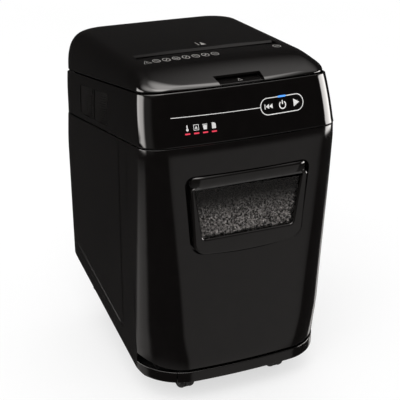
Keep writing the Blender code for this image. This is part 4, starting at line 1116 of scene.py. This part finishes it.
def make_shreds(looks):
    """Loose cross-cut shreds over the heap and against the window."""
    rng = random.Random(11)
    points, faces = [], []

    def shred(place, length, width):
        spin = Matrix.Rotation(rng.uniform(0, math.tau), 3, "Z")
        spin = spin @ Matrix.Rotation(rng.uniform(-1.4, 1.4), 3, "X")
        spin = spin @ Matrix.Rotation(rng.uniform(0, math.tau), 3, "Y")
        bend = rng.uniform(-0.35, 0.35)
        faces.extend(bridge(len(points), 3, 4))
        for k in range(3):
            along = (k / 2 - 0.5) * length
            rise = bend * length * (abs(k - 1) - 0.5) * 0.6
            for side, out in ((-1, 0), (1, 0), (1, 0.00018), (-1, 0.00018)):
                points.append(Vector(place) + spin @ Vector((along, side * width / 2, rise + out)))

    for _ in range(3400):
        z = rng.uniform(0.2885, 0.3670)
        half = GLASS_FOOT_HALF + 0.0130 * (z - GLASS_FOOT_Z) / (GLASS_TOP_Z - GLASS_FOOT_Z) - 0.0025
        x, y = rng.uniform(-half, half), rng.uniform(-0.1940, -0.1870)
        shred((x, y, z), rng.uniform(0.006, 0.0105), rng.uniform(0.0022, 0.0036))
    for _ in range(1700):
        x, y = rng.uniform(-0.112, 0.112), rng.uniform(-0.155, 0.152)
        z = heap_top(y) + rng.uniform(-0.001, 0.0045)
        shred((x, y, z), rng.uniform(0.010, 0.022), rng.uniform(0.0028, 0.0040))
    mesh = mesh_from("paper_shreds", points, faces, 50.0)
    add("paper_shreds", mesh, looks["paper_shreds"], "bin")


def heap_top(y):
    """Height of the heap of shreds, which falls towards the rear."""
    stops = [(-0.20, 0.3590), (-0.15, 0.3560), (-0.11, 0.3420), (-0.04, 0.3130), (0.07, 0.2820), (0.20, 0.2660)]
    for (y0, z0), (y1, z1) in zip(stops, stops[1:]):
        if y <= y1:
            return z0 + (z1 - z0) * (y - y0) / (y1 - y0)
    return stops[-1][1]


def plinth_section():
    z = PLINTH_SECTION_Z
    return Section(half_width(z), front_y(z) - PLINTH_STEP, REAR, front_radius(z), rear_radius(z), FRONT_BOW)


def plinth_top(_):
    """The plinth's top as a height over y, which is level."""
    return PLINTH_TOP


def side_row(height_at):
    z = height_at(0.0)
    section = cabinet_section(z)
    first = section.reach(bin_edge_y(height_at(BIN_EDGE_Y)) + EDGE_GAP)
    side = max(section.side, first + 0.006)
    stations = stations_over((first, side, section.rear_corner, section.back, section.end - REAR_PANEL_X - GAP),
                             (4, 22, 14, 3))
    return lifted(section, stations, z, height_at)


def groove_path(sign):
    """The moulded groove: down behind the bin's edge, round a corner and back along the skirt."""
    top_y, turn_y, turn_z, radius = -0.076, -0.056, 0.1000, 0.0090
    rim = body_rim(top_y)
    path = [(top_y + 0.0110 * t, rim - 0.001 + (0.1010 - rim) * t) for t in spread(0.0, 1.0, 16)]
    turns = spread(0.0, 1.3, 6, False)
    path += [(turn_y - radius * math.cos(turn), turn_z - radius * math.sin(turn)) for turn in turns]
    path += [(y, skirt_bottom(y) + 0.0335) for y in spread(-0.046, 0.170, 16)]
    return [(sign * (half_width(z) + 0.0003), y, z) for y, z in path]


def tube(name, path, radius):
    curve = bpy.data.curves.new(name, "CURVE")
    curve.dimensions = "3D"
    curve.bevel_depth = radius
    curve.bevel_resolution = 3
    curve.use_fill_caps = True
    spline = curve.splines.new("POLY")
    spline.points.add(len(path) - 1)
    for point, place in zip(spline.points, path):
        point.co = (*place, 1.0)
    mesh = curve_mesh(name, curve)
    tidy(mesh, 0.000005)
    finish_shading(mesh)
    return add(name, mesh, None)


def make_side_panels(looks):
    section = plinth_section()
    low, high = skirt_bottom(BIN_EDGE_Y), body_rim(BIN_EDGE_Y)
    heights = [PLINTH_TOP] + [between(bin_foot, body_rim, share)(BIN_EDGE_Y) for share in LEVELS[1:]]
    shares = [0.0] + [(height - low) / (high - low) for height in heights]
    half = [side_row(between(skirt_bottom, body_rim, share)) for share in shares]
    start = PLINTH_SPLIT_X + PLINTH_SPLIT_GAP
    corner_x = spread(start, section.reach(BIN_EDGE_Y) + 0.004, 14)
    for side, sign in (("left", -1), ("right", 1)):
        rows = [[(sign * x, y, z) for x, y, z in row][::sign] for row in half]
        panel = shell(f"side_{side}", rows, WALL, looks["satin_black"])
        corner = [[(sign * x, y, between(skirt_bottom, plinth_top, share)(y))
                   for x, y in map(section.point, corner_x)][::sign] for share in spread(0.0, 1.0, 4)]
        wrap = shell(f"plinth_corner_{side}", corner, WALL, looks["satin_black"])
        join(panel, wrap)
        groove = tube("groove", groove_path(sign), 0.0019)
        cut(panel, groove)
        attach(panel, "cabinet")
        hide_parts(f"side_panel_{side}")
    x_stations = spread(0.0, PLINTH_SPLIT_X, 20)
    rows = [both_sides([(*section.point(a), z) for a in x_stations])
            for z in spread(PLINTH_BOTTOM, PLINTH_TOP, 4)]
    plinth = shell("plinth_middle", rows, WALL, looks["satin_black"])
    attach(plinth, "cabinet")
    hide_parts("plinth_front")


def make_plinth_ledge(looks):
    """The shelf inside the plinth and skirt that closes them round the base pan."""
    section = plinth_section()
    half = []
    for along in spread(0.0, section.reach(-0.125), 30):
        x, y = section.point(along)
        ahead = section.point(along + 0.0005)
        way = Vector((ahead[0] - x, ahead[1] - y)).normalized()
        half.append((x - way.y * 0.0034, y + way.x * 0.0034))
    inner = [(0.1290, half[-1][1]), (0.1290, -0.1466), (0.1040, -0.1495), (0.1040, -0.1645), (0.0, -0.1645)]
    ring = half + inner
    ring = ring + [(-x, y) for x, y in reversed(ring[1:-1])]
    ledge = prism("plinth_ledge", ring, "Z", 0.0425, 0.0445, looks["moulded_black"])
    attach(ledge, "cabinet")
    first = half[-1]
    for side, sign in (("left", -1), ("right", 1)):
        rows = []
        for y in spread(first[1] + 0.0003, 0.150, 16):
            z = 0.0445 + max(0.0, skirt_bottom(y) - skirt_bottom(first[1]))
            rows.append([(sign * x, y, z) for x in (0.1290, 0.1415, half_width(z) - 0.0036)][::sign])
        shelf = slab(f"skirt_ledge_{side}", rows, 0.0020, looks["moulded_black"])
        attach(shelf, "cabinet")


# ---------------------------------------------------------------- casters

def make_casters(looks):
    for y_name, y in zip(("front", "rear"), CASTER_Y):
        for side, x in (("left", -CASTER_X), ("right", CASTER_X)):
            name = f"{y_name}_{side}"
            profile = wheel_section(x, -1) + wheel_section(x, 1)[::-1]
            wheel = lathe(f"wheel_{name}", profile, (0, y, WHEEL_RADIUS), "X", 48, looks["caster_tread"])
            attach(wheel, f"wheel_{name}")
            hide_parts(f"caster_wheel_{name}")
            make_caster_housing(looks, name, x, y)


def wheel_section(x, face):
    """One of the twin wheels as (x, radius): from its centre out over its dished face and its tread."""
    out, inner, rim = x + face * WHEEL_OUTER, x + face * WHEEL_INNER, 0.0130
    dish = out - face * 0.0010
    ring = [(out, 0.0), (out, 0.0035), (dish, 0.0042), (dish, 0.0110), (out, 0.0116), (out, rim)]
    ring += [(out - face * 0.0066 * (1 - math.cos(turn)), rim + (WHEEL_RADIUS - rim) * math.sin(turn))
             for turn in spread(0.0, math.pi / 2, 8, False)]
    return ring + [(inner + face * 0.0016, WHEEL_RADIUS), (inner, WHEEL_RADIUS - 0.0016), (inner, 0.0030)]


def make_caster_housing(looks, name, x, y):
    """A hood over the twin wheels on a web between them, with its swivel stem."""
    axis = (y, WHEEL_RADIUS)
    outer = [(a, min(b, 0.0398)) for a, b in arc(axis, 0.0208, 158, 62, 14)]
    inner = [(a, min(b, 0.0385)) for a, b in arc(axis, 0.0190, 62, 158, 14)]
    hood = prism(f"hood_{name}", outer + inner, "X", x - 0.0128, x + 0.0128, looks["moulded_black"])
    web = prism("web", arc(axis, 0.0174, 0, 352.5, 47), "X", x - 0.0041, x + 0.0041)
    stem = lathe("stem", [(0.0380, 0.0), (0.0380, 0.0062), (0.0406, 0.0062), (0.0410, 0.0040), (0.0555, 0.0040),
                          (0.0560, 0.0035), (0.0560, 0.0)], (x, y - CASTER_TRAIL, 0), "Z", 32)
    join(hood, web, stem)
    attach(hood, f"swivel_{name}")
    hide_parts(f"caster_housing_{name}")


# ---------------------------------------------------------------- carried-over pieces

def dress_cad(looks):
    """Gives each CAD piece that stays its slot's material, but the feed chute under the slot gets the darker
    vent black, a painted shade inside the slot.
    """
    slot_of = {entry["node"]: entry["material_slot"] for entry in frame["record"]["subparts"]}
    for name, obj in CAD.items():
        # The feed chute gets the darker vent black instead of its own material: painted shade that makes the
        # slot read dark.
        look = looks["vent_black" if name == "feed_chute" else slot_of[name]]
        obj.data.materials.clear()
        obj.data.materials.append(look)


# ---------------------------------------------------------------- studio

# Soft boxes: (azimuth, elevation) of the middle, half sizes, widths of the soft edge in degrees, and strength
SOFT_BOXES = (((-116, 2), (13, 9), (15, 6), 6.5),
              ((-85, 6), (14, 8), (22, 10), 0.25),
              ((79, 2), (17, 11), (8, 6), 11.0),
              ((25, -34), (15, 20), (11, 9), 0.33),
              ((-128, -33), (17, 5), (16, 10), 0.42),
              ((127, -29), (5, 3), (7, 5), 0.9),
              ((122, 47), (16, 4), (24, 14), 0.55),
              ((-12, 48), (36, 11), (16, 10), 0.5))
# Round lights: azimuth, elevation, radius of the full part, radius of the whole, and strength
LOBES = ((20, 87, 7, 22, 5.0), (144, 63, 4, 18, 3.6), (-70, 66, 6, 46, 3.6))


def add_camera():
    camera = bpy.data.cameras.new("camera")
    camera.sensor_width = 36.0
    camera.lens = 97.44
    camera.clip_end = 20.0
    obj = bpy.data.objects.new("camera", camera)
    bpy.context.scene.collection.objects.link(obj)
    azimuth, elevation, roll = math.radians(-23.884), math.radians(22.212), math.radians(-0.182)
    ahead = Vector((-math.sin(azimuth) * math.cos(elevation), math.cos(azimuth) * math.cos(elevation),
                    -math.sin(elevation)))
    right = Vector((math.cos(azimuth), math.sin(azimuth), 0.0))
    up = right.cross(ahead)
    turned_right = right * math.cos(roll) + up * math.sin(roll)
    turned_up = up * math.cos(roll) - right * math.sin(roll)
    place = Vector((-0.6741, -1.5424, 0.9508))
    obj.matrix_world = Matrix(((turned_right.x, turned_up.x, -ahead.x, place.x),
                               (turned_right.y, turned_up.y, -ahead.y, place.y),
                               (turned_right.z, turned_up.z, -ahead.z, place.z), (0, 0, 0, 1)))
    bpy.context.scene.camera = obj


def soft_box(tree, azimuth, elevation, centre, half, soft, strength):
    """Radiance of a soft-edged panel in the sky, at (azimuth, elevation) degrees from -Y towards +X."""
    parts = []
    for angle, middle, reach, edge in zip((azimuth, elevation), centre, half, soft):
        away = math_node(tree, "ABSOLUTE", math_node(tree, "SUBTRACT", angle, math.radians(middle)))
        parts.append(ranged(tree, away, math.radians(reach), math.radians(reach + edge), 1.0, 0.0, True))
    return math_node(tree, "MULTIPLY", math_node(tree, "MULTIPLY", *parts), strength)


def lobe(tree, direction, azimuth, elevation, inner, outer, strength):
    """Radiance of a round soft light centred on (azimuth, elevation) degrees."""
    a, e = math.radians(azimuth), math.radians(elevation)
    axis = (math.sin(a) * math.cos(e), -math.cos(a) * math.cos(e), math.sin(e))
    near = node(tree, "ShaderNodeVectorMath", {0: direction, 1: axis}, operation="DOT_PRODUCT").outputs["Value"]
    light = ranged(tree, near, math.cos(math.radians(outer)), math.cos(math.radians(inner)), 0.0, 1.0, True)
    return math_node(tree, "MULTIPLY", light, strength)


def add_world():
    """White to the camera and to matt surfaces. Glossy surfaces see a dark studio with soft light panels.

    Azimuths run from the front (-Y) towards +X, and elevations from the horizon up.
    """
    world = bpy.data.worlds.new("studio")
    world.use_nodes = True
    world.cycles.sampling_method = "NONE"
    bpy.context.scene.world = world
    tree = world.node_tree
    tree.nodes.clear()
    direction = node(tree, "ShaderNodeTexCoord").outputs["Generated"]
    x, y, z = node(tree, "ShaderNodeSeparateXYZ", {0: direction}).outputs
    azimuth = math_node(tree, "ARCTAN2", x, math_node(tree, "MULTIPLY", y, -1.0))
    elevation = math_node(tree, "ARCSINE", z)
    ceiling = ranged(tree, elevation, math.radians(15), math.radians(75), 0.0, 1.0, True)
    total = math_node(tree, "MULTIPLY_ADD", math_node(tree, "POWER", ceiling, 4.0), 1.6, 0.035)
    floor_glow = ranged(tree, elevation, math.radians(-42), math.radians(-56), 0.0, 0.20)
    total = math_node(tree, "ADD", total, floor_glow)
    for panel in SOFT_BOXES:
        total = math_node(tree, "ADD", total, soft_box(tree, azimuth, elevation, *panel))
    for light in LOBES:
        total = math_node(tree, "ADD", total, lobe(tree, direction, *light))
    studio = node(tree, "ShaderNodeBackground", {"Color": (1.0, 0.965, 0.94, 1.0), "Strength": total})
    white = node(tree, "ShaderNodeBackground", {"Color": (1.0, 1.0, 1.0, 1.0), "Strength": 1.0})
    kind = node(tree, "ShaderNodeLightPath").outputs["Is Glossy Ray"]
    mixed = node(tree, "ShaderNodeMixShader", {0: kind, 1: white.outputs[0], 2: studio.outputs[0]})
    node(tree, "ShaderNodeOutputWorld", {"Surface": mixed.outputs[0]})


def add_light(name, place, target, size, power):
    light = bpy.data.lights.new(name, "AREA")
    light.size = size
    light.energy = power
    obj = bpy.data.objects.new(name, light)
    bpy.context.scene.collection.objects.link(obj)
    obj.location = place
    obj.rotation_euler = (Vector(target) - Vector(place)).to_track_quat("-Z", "Y").to_euler()
    obj.visible_camera = False
    obj.visible_glossy = False


def add_floor():
    bm = bmesh.new()
    bmesh.ops.create_grid(bm, x_segments=2, y_segments=2, size=6.0)
    mesh = bpy.data.meshes.new("floor")
    bm.to_mesh(mesh)
    bm.free()
    made, tree, shader = fresh_material("pale_floor", 0.9)
    shader.inputs["Specular IOR Level"].default_value = 0.0
    shader.inputs["Emission Color"].default_value = (1.0, 1.0, 1.0, 1.0)
    shader.inputs["Emission Strength"].default_value = 0.62
    tree.links.new(two_tones(tree, noise(tree, 3.0), (0.36, 0.36, 0.36), (0.38, 0.38, 0.38)),
                   shader.inputs["Base Color"])
    floor = add("floor", mesh, made)
    floor.location.z = -0.0002
    floor.visible_glossy = False
    floor.visible_diffuse = False


# ---------------------------------------------------------------- the scene

bpy.context.scene.view_settings.view_transform = "Standard"
add_camera()
add_world()
add_light("key", (-0.9, -1.3, 1.9), (0.0, 0.0, 0.3), 1.2, 14.0)
add_floor()
looks = make_materials()
dress_cad(looks)
make_lid(looks)
make_lid_marks(looks)
make_head_cover(looks)
make_vents(looks)
make_fascia(looks)
make_panel_marks(looks)
make_bin_front(looks)
make_window(looks)
make_lens(looks)
make_shreds(looks)
make_side_panels(looks)
make_plinth_ledge(looks)
make_casters(looks)
